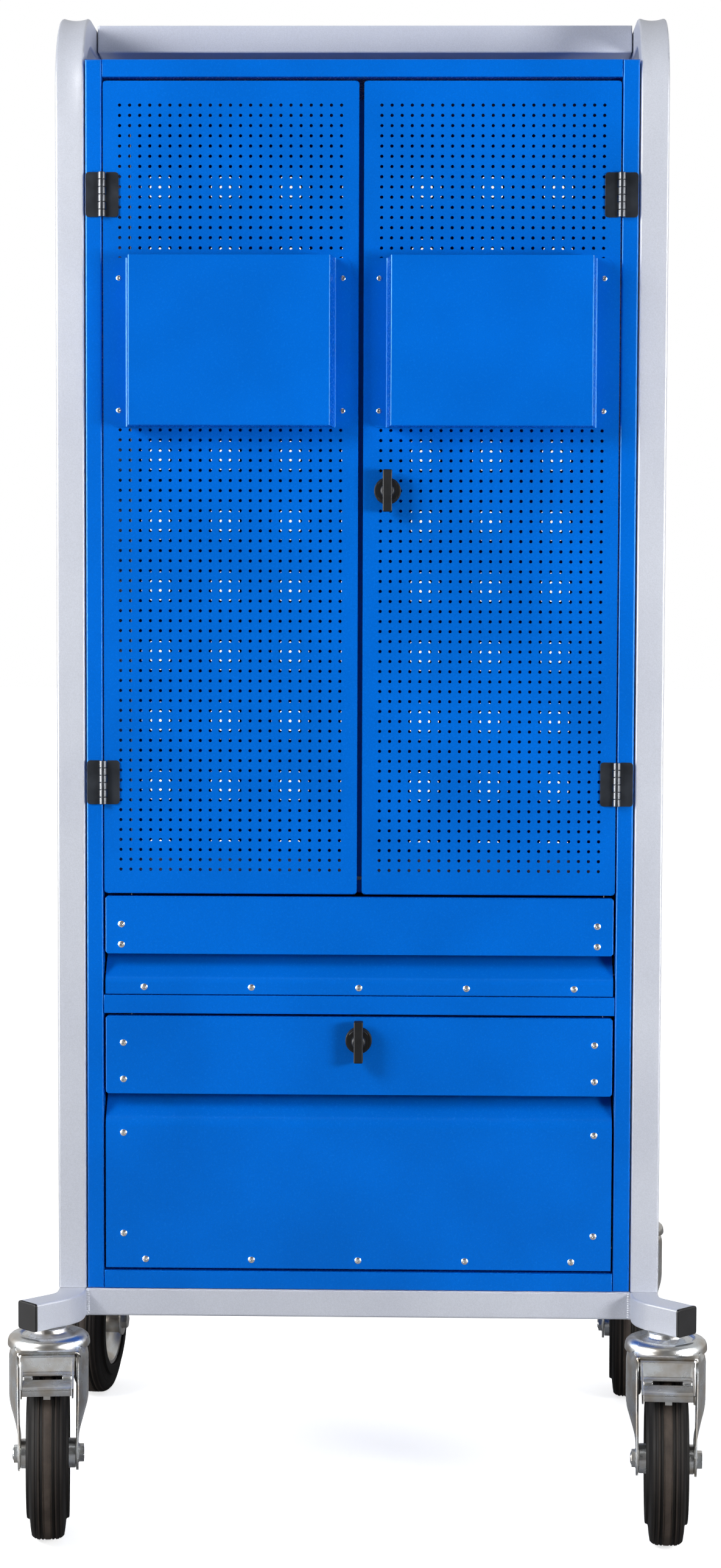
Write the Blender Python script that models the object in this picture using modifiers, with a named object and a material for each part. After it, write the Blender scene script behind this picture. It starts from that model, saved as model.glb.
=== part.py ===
"""Tool cart: a steel cabinet with two doors and two drawers, hung between two tube arches on casters.

Lengths are in metres, +Z is up, +X is to the right and the doors face -Y. The origin lies on the
floor, under the middle of the whole cart with its casters trailing towards the front.
"""

import math

import bmesh
import bpy
from mathutils import Matrix, Vector

for old in list(bpy.data.objects):
    bpy.data.objects.remove(old, do_unlink=True)

# Clearances and steps that the whole cart shares
GAP = 0.0003
OVERRUN = 0.004
WELD = 0.000001
SHARP_ANGLE = math.radians(35)
ROUND_STEPS = 12

# Cabinet body and its folded front frame
CABINET_WIDTH = 0.659
CABINET_DEPTH = 0.548
CABINET_HEIGHT = 1.479
SHEET = 0.0012
STILE_WIDTH = 0.020
FRAME_DEPTH = 0.020
TOP_RAIL = 0.0207
MIDDLE_RAIL = 0.0224
BOTTOM_RAIL = 0.0219
LOWER_OPENING = 0.3157
SHELF_LIP = 0.015
SHELF_RISE = 0.0008

# Tube frame: two arches on two base tubes, whose ends bend outward as caster legs
TUBE = 0.034
TUBE_WALL = 0.002
TUBE_CORNER = 0.003
UPRIGHT_GAP = 0.0015
ARCH_RADIUS = 0.075
ARCH_STEPS = 8
ARCH_CLEARANCE = 0.0287
LEG_LEAD = 0.013
LEG_RADIUS = 0.042
LEG_ANGLE = math.radians(45)
LEG_STEPS = 4
LEG_LENGTH = 0.0445
CAP_FLANGE = 0.0035
CAP_PLUG = 0.012
CAP_ROUNDING = 0.0012

# Tray between the arches' top bars
TRAY_SETBACK = 0.144
TRAY_SIDE_GAP = 0.0026
TRAY_HEIGHT = 0.033
TRAY_LIFT = 0.004
TRAY_SHEET = 0.0015
LUG_LENGTH = 0.030
LUG_HEIGHT = 0.012

# Doors
DOOR_DEPTH = 0.020
DOOR_CENTRE_GAP = 0.006
DOOR_SIDE_GAP = 0.0015
DOOR_TOP_GAP = 0.0041
DOOR_BOTTOM_GAP = 0.0034
DOOR_SHEET = 0.0012

# Document pockets on the doors
POCKET_SIDE = 0.009
POCKET_HEIGHT = 0.2005
POCKET_DEPTH = 0.035
POCKET_FLANGE = 0.0196
POCKET_SLOPE = 0.004
POCKET_CORNER = 0.006
POCKET_DROP = 0.209

# Butt hinges on the front surface
HINGE_HEIGHT = 0.053
HINGE_WIDTH = 0.0395
HINGE_LEAF = 0.002
HINGE_INSET = 0.1345
KNUCKLE_RADIUS = 0.0045
KNUCKLES = 6
PIN_RADIUS = 0.0024
HINGE_OFFSET = 0.0005
HINGE_STEPS = 8

# Wing knobs with their shafts and latch cams
KNOB_RADIUS = 0.016
KNOB_BASE = 0.011
KNOB_BEVEL = 0.002
WING_LENGTH = 0.050
WING_WIDTH = 0.011
WING_RISE = 0.015
SHAFT_RADIUS = 0.004
CAM_WIDTH = 0.0194
CAM_SHEET = 0.0025
CAM_TIP_GAP = 0.0005
DOOR_KNOB_INSET = 0.0294
DOOR_KNOB_DROP = 0.0757
DOOR_CAM_LENGTH = 0.045
DRAWER_KNOB_DROP = 0.0277

# Drawers: a front panel over a finger grip, a lower panel that slopes back behind it, and a box
DRAWER_SIDE_GAP = 0.0025
DRAWER_REVEAL = 0.001
LOWER_DRAWER_REVEAL = 0.0033
LOWER_DRAWER_TOP_GAP = 0.003
UPPER_FRONT_HEIGHT = 0.1194
UPPER_PANEL_HEIGHT = 0.0698
UPPER_LIP_HEIGHT = 0.0184
LOWER_PANEL_HEIGHT = 0.0949
GRIP_HEIGHT = 0.0332
GRIP_DEPTH = 0.031
PANEL_RETURN = 0.012
BOX_LENGTH = 0.480
BOX_LIFT = 0.002
BOX_SHARE = 0.52
LOWER_BOX_SHARE = 0.76
BOX_SIDE_ROOM = 0.0165

# Drawer runners: a bar on the box in a channel on the cabinet's side
RUNNER_BAR = 0.006
RUNNER_HEIGHT = 0.020
RUNNER_LIFT = 0.012
RUNNER_SHEET = 0.0015
RUNNER_PLAY = 0.0004
RUNNER_LIP = 0.0045
RUNNER_SETBACK = 0.003

# Casters
CASTER_HEIGHT = 0.241
CASTER_SEAT = 0.0145
TRAIL = 0.050
WHEEL_RADIUS = 0.100
TYRE_DEPTH = 0.0385
TYRE_WIDTH = 0.050
TYRE_BAND = 0.0135
TYRE_STEP = 0.001
TYRE_WALL_WIDTH = 0.043
TYRE_SHOULDER_WIDTH = 0.038
TYRE_CROWN_WIDTH = 0.025
TYRE_CROWN = 0.005
TYRE_STEPS = 32
RIM_STEPS = 20
RIM_WIDTH = 0.044
RIM_WALL = 0.0065
RIM_WEB = 0.008
HUB_RADIUS = 0.0175
HUB_STAND = 0.0075
AXLE_RADIUS = 0.006
NUT_RADIUS = 0.011
NUT_LENGTH = 0.0065
HEADINGS = {
    "front_left": math.radians(6),
    "front_right": math.radians(-3),
    "rear_left": math.radians(-7),
    "rear_right": math.radians(-4),
}

# Caster fork, pressed from sheet, under a swivel head with two ball races inside
FORK_SHEET = 0.003
FORK_TOP_WIDTH = 0.095
FORK_SHOULDER = 0.008
FORK_CROWN = 0.016
FORK_TAPER_TOP = 0.055
FORK_TAPER_BOTTOM = 0.018
FORK_BACK = 0.038
FORK_FRONT = 0.064
FORK_CHEEK = 0.024
FORK_END = 0.020
FLARE_MIDDLE = 0.008
FLARE_REACH = 0.056
FLARE_STATION_SHARES = (0, 0.22, 0.45, 0.7)
HEAD_RADIUS = 0.0495
HEAD_RIM = 0.005
HEAD_CREST = 0.0084
HEAD_BOSS_RADIUS = 0.022
KINGPIN_RADIUS = 0.012
KINGPIN_NUT = 0.009
HEAD_STEPS = 16

# Brake pedal of the front casters: a bent plate over the tyre, on a pin between the fork's cheeks
PEDAL_WIDTH = 0.060
PEDAL_SHEET = 0.0025
PEDAL_PIN_RADIUS = 0.003
PEDAL_PIN_INSET = 0.005
PEDAL_PIN_DROP = 0.0095
PEDAL_PIN_PLAY = 0.0006
PEDAL_LEAD = 0.002
PEDAL_FALL = 0.018
PEDAL_RUN = 0.014
PEDAL_PLATE = 0.047
PEDAL_TILT = 0.004
PEDAL_LIP = 0.011
PEDAL_EAR = 0.005
PEDAL_WINDOW_WIDTH = 0.034
PEDAL_WINDOW = 0.010

# Places worked out from the sizes above
CENTRE_Y = TRAIL
FRONT_Y = CENTRE_Y - CABINET_DEPTH / 2
BACK_Y = CENTRE_Y + CABINET_DEPTH / 2
SIDE_X = CABINET_WIDTH / 2
TUBE_TOP = CASTER_HEIGHT + TUBE
BASE_Z = TUBE_TOP + GAP
ROOF_Z = BASE_Z + CABINET_HEIGHT
UPRIGHT_X = SIDE_X + UPRIGHT_GAP + TUBE / 2
ARCH_TOP = ROOF_Z + ARCH_CLEARANCE + TUBE
LOWER_OPENING_Z = BASE_Z + BOTTOM_RAIL
MIDDLE_RAIL_Z = LOWER_OPENING_Z + LOWER_OPENING
UPPER_OPENING_Z = MIDDLE_RAIL_Z + MIDDLE_RAIL
OPENING_TOP = ROOF_Z - TOP_RAIL
OPENING_X = SIDE_X - STILE_WIDTH
UPPER_DRAWER_Z = UPPER_OPENING_Z + DRAWER_REVEAL
UPPER_DRAWER_TOP = UPPER_DRAWER_Z + UPPER_FRONT_HEIGHT
LOWER_DRAWER_Z = LOWER_OPENING_Z + LOWER_DRAWER_REVEAL
LOWER_DRAWER_TOP = MIDDLE_RAIL_Z - LOWER_DRAWER_TOP_GAP
DOOR_Z = UPPER_DRAWER_TOP + DOOR_BOTTOM_GAP
DOOR_TOP = OPENING_TOP - DOOR_TOP_GAP
DOOR_X = OPENING_X - DOOR_SIDE_GAP
POCKET_HALF = (DOOR_X - DOOR_CENTRE_GAP / 2) / 2 - POCKET_SIDE
POCKET_Z = DOOR_TOP - POCKET_DROP - POCKET_HEIGHT
INNER_X = SIDE_X - SHEET - GAP
INNER_FRONT = FRONT_Y + FRAME_DEPTH + GAP
INNER_BACK = BACK_Y - SHEET - GAP
HINGE_X = OPENING_X - HINGE_OFFSET
HINGE_Y = FRONT_Y - GAP - KNUCKLE_RADIUS
LEG_END_X = LEG_RADIUS * (1 - math.cos(LEG_ANGLE)) + LEG_LENGTH * math.sin(LEG_ANGLE)
LEG_END_Y = LEG_LEAD + LEG_RADIUS * math.sin(LEG_ANGLE) + LEG_LENGTH * math.cos(LEG_ANGLE)
CASTER_X = UPRIGHT_X + LEG_END_X - (LEG_LENGTH - CASTER_SEAT) * math.sin(LEG_ANGLE)
CASTER_Y = CABINET_DEPTH / 2 + LEG_END_Y - (LEG_LENGTH - CASTER_SEAT) * math.cos(LEG_ANGLE)
HUB_HALF = TYRE_WIDTH / 2 + HUB_STAND
FORK_AXLE_HALF = HUB_HALF + GAP + FORK_SHEET
RIM_RADIUS = WHEEL_RADIUS - TYRE_DEPTH
CROWN_Z = CASTER_HEIGHT - FORK_CROWN
PIN_FORWARD = FORK_FRONT - PEDAL_PIN_INSET

# Which way an outline's plane faces
FACING_UP = Matrix.Identity(4)
FACING_FRONT = Matrix.Rotation(math.radians(90), 4, "X")
FACING_SIDE = Matrix(((0, 0, -1, 0), (-1, 0, 0, 0), (0, 1, 0, 0), (0, 0, 0, 1)))

# Finishes: colour as seen, roughness and metallic value
POWDER_BLUE = ("006CDA", 0.35, 0.0)
POWDER_GREY = ("B5B9C4", 0.40, 0.0)
BLACK_PLASTIC = ("17181B", 0.45, 0.0)
BLACK_STEEL = ("26272A", 0.35, 0.4)
ZINC = ("B9BCC0", 0.28, 1.0)
RUBBER = ("2B2622", 0.75, 0.0)

cart = bpy.data.collections.new("tool_cart")
bpy.context.scene.collection.children.link(cart)
cutters = bpy.data.collections.new("tool_cart_cutters")
bpy.context.scene.collection.children.link(cutters)


def linear(channel):
    """A colour channel as light adds up, from the value seen."""
    return channel / 12.92 if channel <= 0.04045 else ((channel + 0.055) / 1.055) ** 2.4


def finish(obj, look):
    """Gives an object a material of its own."""
    seen, roughness, metallic = look
    colour = [linear(int(seen[i : i + 2], 16) / 255) for i in (0, 2, 4)]
    material = bpy.data.materials.new(obj.name)
    material.use_nodes = True
    shader = material.node_tree.nodes["Principled BSDF"]
    shader.inputs["Base Color"].default_value = (*colour, 1)
    shader.inputs["Roughness"].default_value = roughness
    shader.inputs["Metallic"].default_value = metallic
    material.diffuse_color = (*colour, 1)
    if not obj.data.materials:
        obj.data.materials.append(None)
    obj.material_slots[0].link = "OBJECT"
    obj.material_slots[0].material = material
    return obj


def mesh_object(name, bm, collection=cart):
    """An object that holds this bmesh."""
    mesh = bpy.data.meshes.new(name)
    bm.to_mesh(mesh)
    bm.free()
    obj = bpy.data.objects.new(name, mesh)
    collection.objects.link(obj)
    return obj


def as_cutter(obj):
    """Moves an object to the cutters, so that it only shapes others."""
    for collection in list(obj.users_collection):
        collection.objects.unlink(obj)
    cutters.objects.link(obj)
    obj.hide_render = True
    obj.display_type = "WIRE"
    return obj


def block(name, low, high):
    """A box between two corners."""
    low, high = Vector(low), Vector(high)
    bm = bmesh.new()
    bmesh.ops.create_cube(bm, size=1)
    bmesh.ops.scale(bm, vec=high - low, verts=bm.verts)
    bmesh.ops.translate(bm, vec=(low + high) / 2, verts=bm.verts)
    return mesh_object(name, bm)


def rod(name, radius, low, high, place, steps=ROUND_STEPS):
    """A round bar along its own Z from low to high, then put in its place."""
    bm = bmesh.new()
    middle = Matrix.Translation((0, 0, (low + high) / 2))
    bmesh.ops.create_cone(
        bm, cap_ends=True, segments=steps, radius1=radius, radius2=radius, depth=high - low, matrix=middle
    )
    bm.transform(place)
    return mesh_object(name, bm)


def settled(obj):
    """The object as a plain welded mesh, with its modifiers worked in."""
    name, place = obj.name, obj.matrix_world.copy()
    bpy.context.view_layer.update()
    graph = bpy.context.evaluated_depsgraph_get()
    mesh = bpy.data.meshes.new_from_object(obj.evaluated_get(graph))
    bpy.data.objects.remove(obj, do_unlink=True)
    bm = bmesh.new()
    bm.from_mesh(mesh)
    bmesh.ops.remove_doubles(bm, verts=bm.verts, dist=WELD)
    bmesh.ops.recalc_face_normals(bm, faces=bm.faces)
    bpy.data.meshes.remove(mesh)
    result = mesh_object(name, bm)
    result.matrix_world = place
    return result


def plate(name, outlines, thickness, facing, centre=(0, 0, 0)):
    """A flat outline, with any holes, given its thickness about its own plane."""
    curve = bpy.data.curves.new(name, "CURVE")
    curve.dimensions = "2D"
    curve.fill_mode = "BOTH"
    curve.extrude = thickness / 2
    for outline in outlines:
        spline = curve.splines.new("POLY")
        spline.points.add(len(outline) - 1)
        for point, (x, y) in zip(spline.points, outline):
            point.co = (x, y, 0, 1)
        spline.use_cyclic_u = True
    obj = bpy.data.objects.new(name, curve)
    cart.objects.link(obj)
    obj = settled(obj)
    obj.data.transform(Matrix.Translation(centre) @ facing)
    return obj


def solidify(obj, wall):
    """Gives a surface its wall, on the inner side."""
    modifier = obj.modifiers.new("wall", "SOLIDIFY")
    modifier.thickness = wall
    modifier.offset = -1
    modifier.use_even_offset = True
    return obj


def pan(name, low, high, wall, open_sides):
    """A folded sheet box between two corners, open towards the given directions."""
    obj = block(name, low, high)
    bm = bmesh.new()
    bm.from_mesh(obj.data)
    bm.normal_update()
    gone = [f for f in bm.faces if any(f.normal.dot(Vector(side)) > 0 for side in open_sides)]
    bmesh.ops.delete(bm, geom=gone, context="FACES")
    bm.to_mesh(obj.data)
    bm.free()
    return solidify(obj, wall)


def loft(sections, outer):
    """The surface through lines of points of one length, with its first face towards outer."""
    bm = bmesh.new()
    rows = [[bm.verts.new(point) for point in section] for section in sections]
    for near, far in zip(rows, rows[1:]):
        for i in range(len(near) - 1):
            bm.faces.new((near[i], near[i + 1], far[i + 1], far[i]))
    return turned_out(bm, outer)


def strip(points, run, outer):
    """The surface that a folded line sweeps, with its first face towards outer."""
    line = [Vector(point) for point in points]
    return loft([line, [point + Vector(run) for point in line]], outer)


def turned_out(bm, outer):
    """Makes a surface's faces agree, with the first one towards outer."""
    bmesh.ops.recalc_face_normals(bm, faces=bm.faces)
    bm.normal_update()
    bm.faces.ensure_lookup_table()
    if bm.faces[0].normal.dot(Vector(outer)) < 0:
        bmesh.ops.reverse_faces(bm, faces=bm.faces)
    return bm


def combine(obj, other, operation, solver="EXACT"):
    """Cuts an object with another, joins the two, or keeps what they share."""
    modifier = obj.modifiers.new(operation.lower(), "BOOLEAN")
    modifier.operation = operation
    modifier.solver = solver
    modifier.object = as_cutter(other)
    return obj


def turned(name, profile, steps, closed):
    """A profile of (radius, height) points, turned about its own Z."""
    bm = bmesh.new()
    line = [bm.verts.new((radius, 0, height)) for radius, height in profile]
    ends = line[1:] + line[:1] if closed else line[1:]
    for pair in zip(line, ends):
        bm.edges.new(pair)
    obj = mesh_object(name, bm)
    screw = obj.modifiers.new("turn", "SCREW")
    screw.steps = steps
    screw.render_steps = steps
    screw.use_merge_vertices = True
    screw.merge_threshold = WELD
    screw.use_smooth_shade = True
    return obj


def smoothed(obj):
    """Shades a round piece smooth, with its real edges kept sharp."""
    obj.data.shade_smooth()
    obj.data.set_sharp_from_angle(angle=SHARP_ANGLE)
    return obj


def arc(centre, radius, start, end, steps):
    """Points along an arc, in two dimensions."""
    angles = [start + (end - start) * i / steps for i in range(steps + 1)]
    return [(centre[0] + radius * math.cos(a), centre[1] + radius * math.sin(a)) for a in angles]


def copy_of(obj, name):
    """Another object that shares a mesh."""
    twin = bpy.data.objects.new(name, obj.data)
    cart.objects.link(twin)
    return twin


def square_tube(name, points):
    """A square tube with open ends along a path."""
    path = bpy.data.curves.new(name, "CURVE")
    path.dimensions = "3D"
    path.twist_mode = "Z_UP"
    path.bevel_mode = "OBJECT"
    path.bevel_object = tube_section
    spline = path.splines.new("POLY")
    spline.points.add(len(points) - 1)
    for point, place in zip(spline.points, points):
        point.co = (*place, 1)
    obj = bpy.data.objects.new(name, path)
    cart.objects.link(obj)
    return solidify(obj, TUBE_WALL)


def section_outline():
    """The tube's outer outline, with its corners cut at 45 degrees."""
    half = TUBE / 2
    flat = half - TUBE_CORNER
    quarter = [(half, flat), (flat, half)]
    turns = [Matrix.Rotation(math.radians(90 * i), 2) for i in range(4)]
    return [tuple(turn @ Vector(point)) for turn in turns for point in quarter]


def make_tube_section():
    """The guide that every tube of the frame follows in section."""
    curve = bpy.data.curves.new("tube_section", "CURVE")
    curve.dimensions = "2D"
    spline = curve.splines.new("POLY")
    outline = section_outline()
    spline.points.add(len(outline) - 1)
    for point, (x, y) in zip(spline.points, reversed(outline)):
        point.co = (x, y, 0, 1)
    spline.use_cyclic_u = True
    obj = bpy.data.objects.new("tube_section", curve)
    cart.objects.link(obj)
    return as_cutter(obj)


def make_arches():
    """The two arches: up beside the cabinet's front, over it and down at the back."""
    near, far = FRONT_Y + TUBE / 2, BACK_Y - TUBE / 2
    foot, top = TUBE_TOP + GAP, ARCH_TOP - TUBE / 2
    rise = top - ARCH_RADIUS
    front_bend = arc((near + ARCH_RADIUS, rise), ARCH_RADIUS, math.pi, math.pi / 2, ARCH_STEPS)
    back_bend = arc((far - ARCH_RADIUS, rise), ARCH_RADIUS, math.pi / 2, 0, ARCH_STEPS)
    line = [(near, foot)] + front_bend + back_bend + [(far, foot)]
    for side, sign in (("left", -1), ("right", 1)):
        obj = square_tube(f"{side}_arch", [(sign * UPRIGHT_X, y, z) for y, z in line])
        finish(obj, POWDER_GREY)


def make_base():
    """The base tubes with their bent legs, the two rails between them and the legs' caps."""
    height = CASTER_HEIGHT + TUBE / 2
    bend = arc((LEG_RADIUS, 0), LEG_RADIUS, math.pi, math.pi - LEG_ANGLE, LEG_STEPS)
    half = CABINET_DEPTH / 2 + LEG_LEAD
    leg = [(x, half + y) for x, y in bend]
    leg.append((LEG_END_X, CABINET_DEPTH / 2 + LEG_END_Y))
    line = [(x, -y) for x, y in reversed(leg)] + leg
    for side, sign in (("left", -1), ("right", 1)):
        points = [(sign * (UPRIGHT_X + x), CENTRE_Y + y, height) for x, y in line]
        finish(square_tube(f"{side}_base_tube", points), POWDER_GREY)
    reach = UPRIGHT_X - TUBE / 2 - GAP
    for name, y in (("front", FRONT_Y + TUBE / 2), ("rear", BACK_Y - TUBE / 2)):
        finish(square_tube(f"{name}_base_rail", [(-reach, y, height), (reach, y, height)]), POWDER_GREY)
    make_caps(height)


def make_caps(height):
    """Plastic caps: a flange over the leg's end and a plug inside it."""
    outline = section_outline()
    cap = plate("cap", [outline], CAP_FLANGE, FACING_UP, (0, 0, GAP + CAP_FLANGE / 2))
    bm = bmesh.new()
    bm.from_mesh(cap.data)
    bmesh.ops.dissolve_limit(bm, angle_limit=SHARP_ANGLE, verts=bm.verts, edges=bm.edges)
    bm.normal_update()
    rim = [e for f in bm.faces if f.normal.z > math.cos(SHARP_ANGLE) for e in f.edges]
    bmesh.ops.bevel(bm, geom=rim, offset=CAP_ROUNDING, segments=1, profile=0.5, affect="EDGES", material=-1)
    inner = [f for f in bm.faces if f.normal.z < -math.cos(SHARP_ANGLE)]
    bmesh.ops.inset_region(bm, faces=inner, thickness=TUBE_WALL + GAP, use_even_offset=True)
    plug = bmesh.ops.extrude_face_region(bm, geom=inner)["geom"]
    down = [g for g in plug if isinstance(g, bmesh.types.BMVert)]
    bmesh.ops.translate(bm, vec=(0, 0, -CAP_PLUG), verts=down)
    bmesh.ops.delete(bm, geom=inner, context="FACES")
    bmesh.ops.recalc_face_normals(bm, faces=bm.faces)
    bm.to_mesh(cap.data)
    bm.free()
    for name in HEADINGS:
        front = -1 if "front" in name else 1
        side = -1 if "left" in name else 1
        twin = copy_of(cap, f"cap_{name}")
        x = side * (UPRIGHT_X + LEG_END_X)
        y = CENTRE_Y + front * (CABINET_DEPTH / 2 + LEG_END_Y)
        outward = Vector((side * math.sin(LEG_ANGLE), front * math.cos(LEG_ANGLE), 0))
        twin.location = (x, y, height)
        twin.rotation_euler = outward.to_track_quat("Z", "Y").to_euler()
        finish(twin, BLACK_PLASTIC)
    bpy.data.objects.remove(cap, do_unlink=True)


def make_tray():
    """The open tray between the arches, welded to them by two lugs a side."""
    side = UPRIGHT_X - TUBE / 2 - TRAY_SIDE_GAP
    low_z = ARCH_TOP - TUBE + TRAY_LIFT
    low = (-side, FRONT_Y + TRAY_SETBACK, low_z)
    high = (side, BACK_Y - TRAY_SETBACK, low_z + TRAY_HEIGHT)
    tray = pan("top_tray", low, high, TRAY_SHEET, [(0, 0, 1)])
    for sign in (-1, 1):
        inner, outer = side - TRAY_SHEET / 2, side + TRAY_SIDE_GAP - GAP
        xs = sorted((sign * inner, sign * outer))
        lug_z = low_z + TRAY_SHEET
        near = (xs[0], CENTRE_Y - LUG_LENGTH / 2, lug_z)
        far = (xs[1], CENTRE_Y + LUG_LENGTH / 2, lug_z + LUG_HEIGHT)
        combine(tray, block("tray_lug", near, far), "UNION")
    finish(tray, POWDER_GREY)


def frame_outline(inset):
    """The front frame's outer edge and its two openings, drawn in by inset."""
    edges = [(-SIDE_X, SIDE_X, BASE_Z, ROOF_Z, inset)]
    edges.append((-OPENING_X, OPENING_X, LOWER_OPENING_Z, MIDDLE_RAIL_Z, -inset))
    edges.append((-OPENING_X, OPENING_X, UPPER_OPENING_Z, OPENING_TOP, -inset))
    outlines = []
    for left, right, low, high, step in edges:
        left, right, low, high = left + step, right - step, low + step, high - step
        outlines.append([(left, low), (right, low), (right, high), (left, high)])
    return outlines


def make_cabinet():
    """The cabinet's sheets and its front frame, which is a channel open at the back."""
    middle = (0, FRONT_Y + FRAME_DEPTH / 2, 0)
    frame = plate("front_frame", frame_outline(0), FRAME_DEPTH, FACING_FRONT, middle)
    behind = (0, middle[1] + SHEET, 0)
    combine(frame, plate("frame_channel", frame_outline(SHEET), FRAME_DEPTH, FACING_FRONT, behind), "DIFFERENCE")
    finish(frame, POWDER_BLUE)
    low, high = BASE_Z + SHEET + GAP, ROOF_Z - SHEET - GAP
    inner = SIDE_X - SHEET
    sheets = {
        "left_side_panel": ((-SIDE_X, INNER_FRONT, low), (-inner, BACK_Y, high)),
        "right_side_panel": ((inner, INNER_FRONT, low), (SIDE_X, BACK_Y, high)),
        "back_panel": ((-INNER_X, BACK_Y - SHEET, low), (INNER_X, BACK_Y, high)),
        "roof_panel": ((-SIDE_X, INNER_FRONT, ROOF_Z - SHEET), (SIDE_X, BACK_Y, ROOF_Z)),
        "floor_panel": ((-SIDE_X, INNER_FRONT, BASE_Z), (SIDE_X, BACK_Y, BASE_Z + SHEET)),
    }
    for name, corners in sheets.items():
        finish(block(name, *corners), POWDER_BLUE)
    shelf_z = DOOR_Z + SHELF_RISE
    near, far = INNER_FRONT + SHEET, INNER_BACK
    fold = [(near, shelf_z + SHELF_LIP), (near, shelf_z), (far, shelf_z), (far, shelf_z + SHELF_LIP)]
    points = [(-INNER_X, y, z) for y, z in fold]
    shelf = mesh_object("compartment_shelf", strip(points, (2 * INNER_X, 0, 0), (0, -1, 0)))
    finish(solidify(shelf, SHEET), POWDER_BLUE)


def make_doors():
    """Two folded door panels with their pockets, hinges and the knob that latches them."""
    front, back = FRONT_Y, FRONT_Y + DOOR_DEPTH
    inner = DOOR_CENTRE_GAP / 2
    for side, sign in (("left", -1), ("right", 1)):
        xs = sorted((sign * inner, sign * DOOR_X))
        door = pan(f"{side}_door", (xs[0], front, DOOR_Z), (xs[1], back, DOOR_TOP), DOOR_SHEET, [(0, 1, 0)])
        if sign > 0:
            hole = Matrix.Translation(door_knob_place()) @ FACING_FRONT
            radius = SHAFT_RADIUS + GAP
            combine(door, rod("door_knob_hole", radius, -OVERRUN, OVERRUN, hole), "DIFFERENCE")
        finish(door, POWDER_BLUE)
        make_pocket(f"{side}_pocket", (xs[0] + xs[1]) / 2)
    make_hinges()


def door_knob_place():
    """The middle of the door knob's seat on the door's face, below the pocket."""
    return Vector((DOOR_CENTRE_GAP / 2 + DOOR_KNOB_INSET, FRONT_Y, POCKET_Z - DOOR_KNOB_DROP))


def make_pocket(name, centre_x):
    """A document pocket: a folded sheet between two flanges, closed below and open above."""
    half, seat = POCKET_HALF, FRONT_Y - GAP - DOOR_SHEET
    front = seat - POCKET_DEPTH
    bend = half - POCKET_FLANGE
    left = [(-half, seat), (-bend, seat), (-bend + POCKET_SLOPE, front)]
    right = [(-x, y) for x, y in reversed(left)]
    points = [(centre_x + x, y, POCKET_Z) for x, y in left + right]
    bm = strip(points, (0, 0, POCKET_HEIGHT), (0, -1, 0))
    bm.verts.ensure_lookup_table()
    bmesh.ops.contextual_create(bm, geom=[bm.verts[i] for i in (1, 2, 3, 4)])
    outer_corners = [v for v in bm.verts if abs(abs(v.co.x - centre_x) - half) < WELD]
    bmesh.ops.bevel(
        bm, geom=outer_corners, offset=POCKET_CORNER, segments=1, profile=0.5, affect="VERTICES", material=-1
    )
    pocket = mesh_object(name, turned_out(bm, (0, -1, 0)))
    finish(solidify(pocket, DOOR_SHEET), POWDER_BLUE)


def leaf_outline():
    """A hinge leaf and its knuckle from above: the leaf lies against the door's face."""
    back, front = KNUCKLE_RADIUS, KNUCKLE_RADIUS - HINGE_LEAF
    meet = math.asin(front / KNUCKLE_RADIUS)
    knuckle = arc((0, 0), KNUCKLE_RADIUS, meet, math.pi / 2 - 2 * math.pi, HINGE_STEPS)
    return [(HINGE_WIDTH / 2, back), (HINGE_WIDTH / 2, front)] + knuckle


def make_leaf(name, first):
    """A hinge leaf with every second knuckle, starting with the given one."""
    pitch = HINGE_HEIGHT / KNUCKLES
    leaf = plate(name, [leaf_outline()], HINGE_HEIGHT, FACING_UP)
    reach = KNUCKLE_RADIUS + GAP
    for i in range(1 - first, KNUCKLES, 2):
        low = -HINGE_HEIGHT / 2 + i * pitch
        ends = (low - GAP / 2, low + pitch + GAP / 2)
        near = (-reach - OVERRUN, -reach - OVERRUN, ends[0] if i else ends[0] - OVERRUN)
        far = (reach, reach + OVERRUN, ends[1] if i < KNUCKLES - 1 else ends[1] + OVERRUN)
        combine(leaf, block(f"{name}_notch", near, far), "DIFFERENCE")
    return leaf


def make_hinges():
    """Four butt hinges: the frame's leaf holds the pin and the door's leaf turns on it."""
    half = HINGE_HEIGHT / 2
    frame_leaf = make_leaf("frame_leaf", 0)
    combine(frame_leaf, rod("hinge_pin", PIN_RADIUS, -half, half, FACING_UP, HINGE_STEPS), "UNION")
    door_leaf = make_leaf("door_leaf", 1)
    bore_radius = (PIN_RADIUS + GAP) / math.cos(math.pi / HINGE_STEPS)
    bore = rod("hinge_bore", bore_radius, -half - OVERRUN, half + OVERRUN, FACING_UP, HINGE_STEPS)
    combine(door_leaf, bore, "DIFFERENCE")
    frame_leaf, door_leaf = smoothed(settled(frame_leaf)), smoothed(settled(door_leaf))
    door_leaf.data.transform(Matrix.Scale(-1, 4, (1, 0, 0)))
    door_leaf.data.flip_normals()
    heights = {"lower": DOOR_Z + HINGE_INSET, "upper": DOOR_TOP - HINGE_INSET}
    for side, sign in (("left", -1), ("right", 1)):
        for level, z in heights.items():
            for kind, leaf in (("frame", frame_leaf), ("door", door_leaf)):
                twin = copy_of(leaf, f"hinge_{side}_{level}_{kind}_leaf")
                twin.location = (sign * HINGE_X, HINGE_Y, z)
                twin.rotation_euler = (0, 0 if sign > 0 else math.pi, 0)
                finish(twin, BLACK_STEEL)
    bpy.data.objects.remove(frame_leaf, do_unlink=True)
    bpy.data.objects.remove(door_leaf, do_unlink=True)


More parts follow.
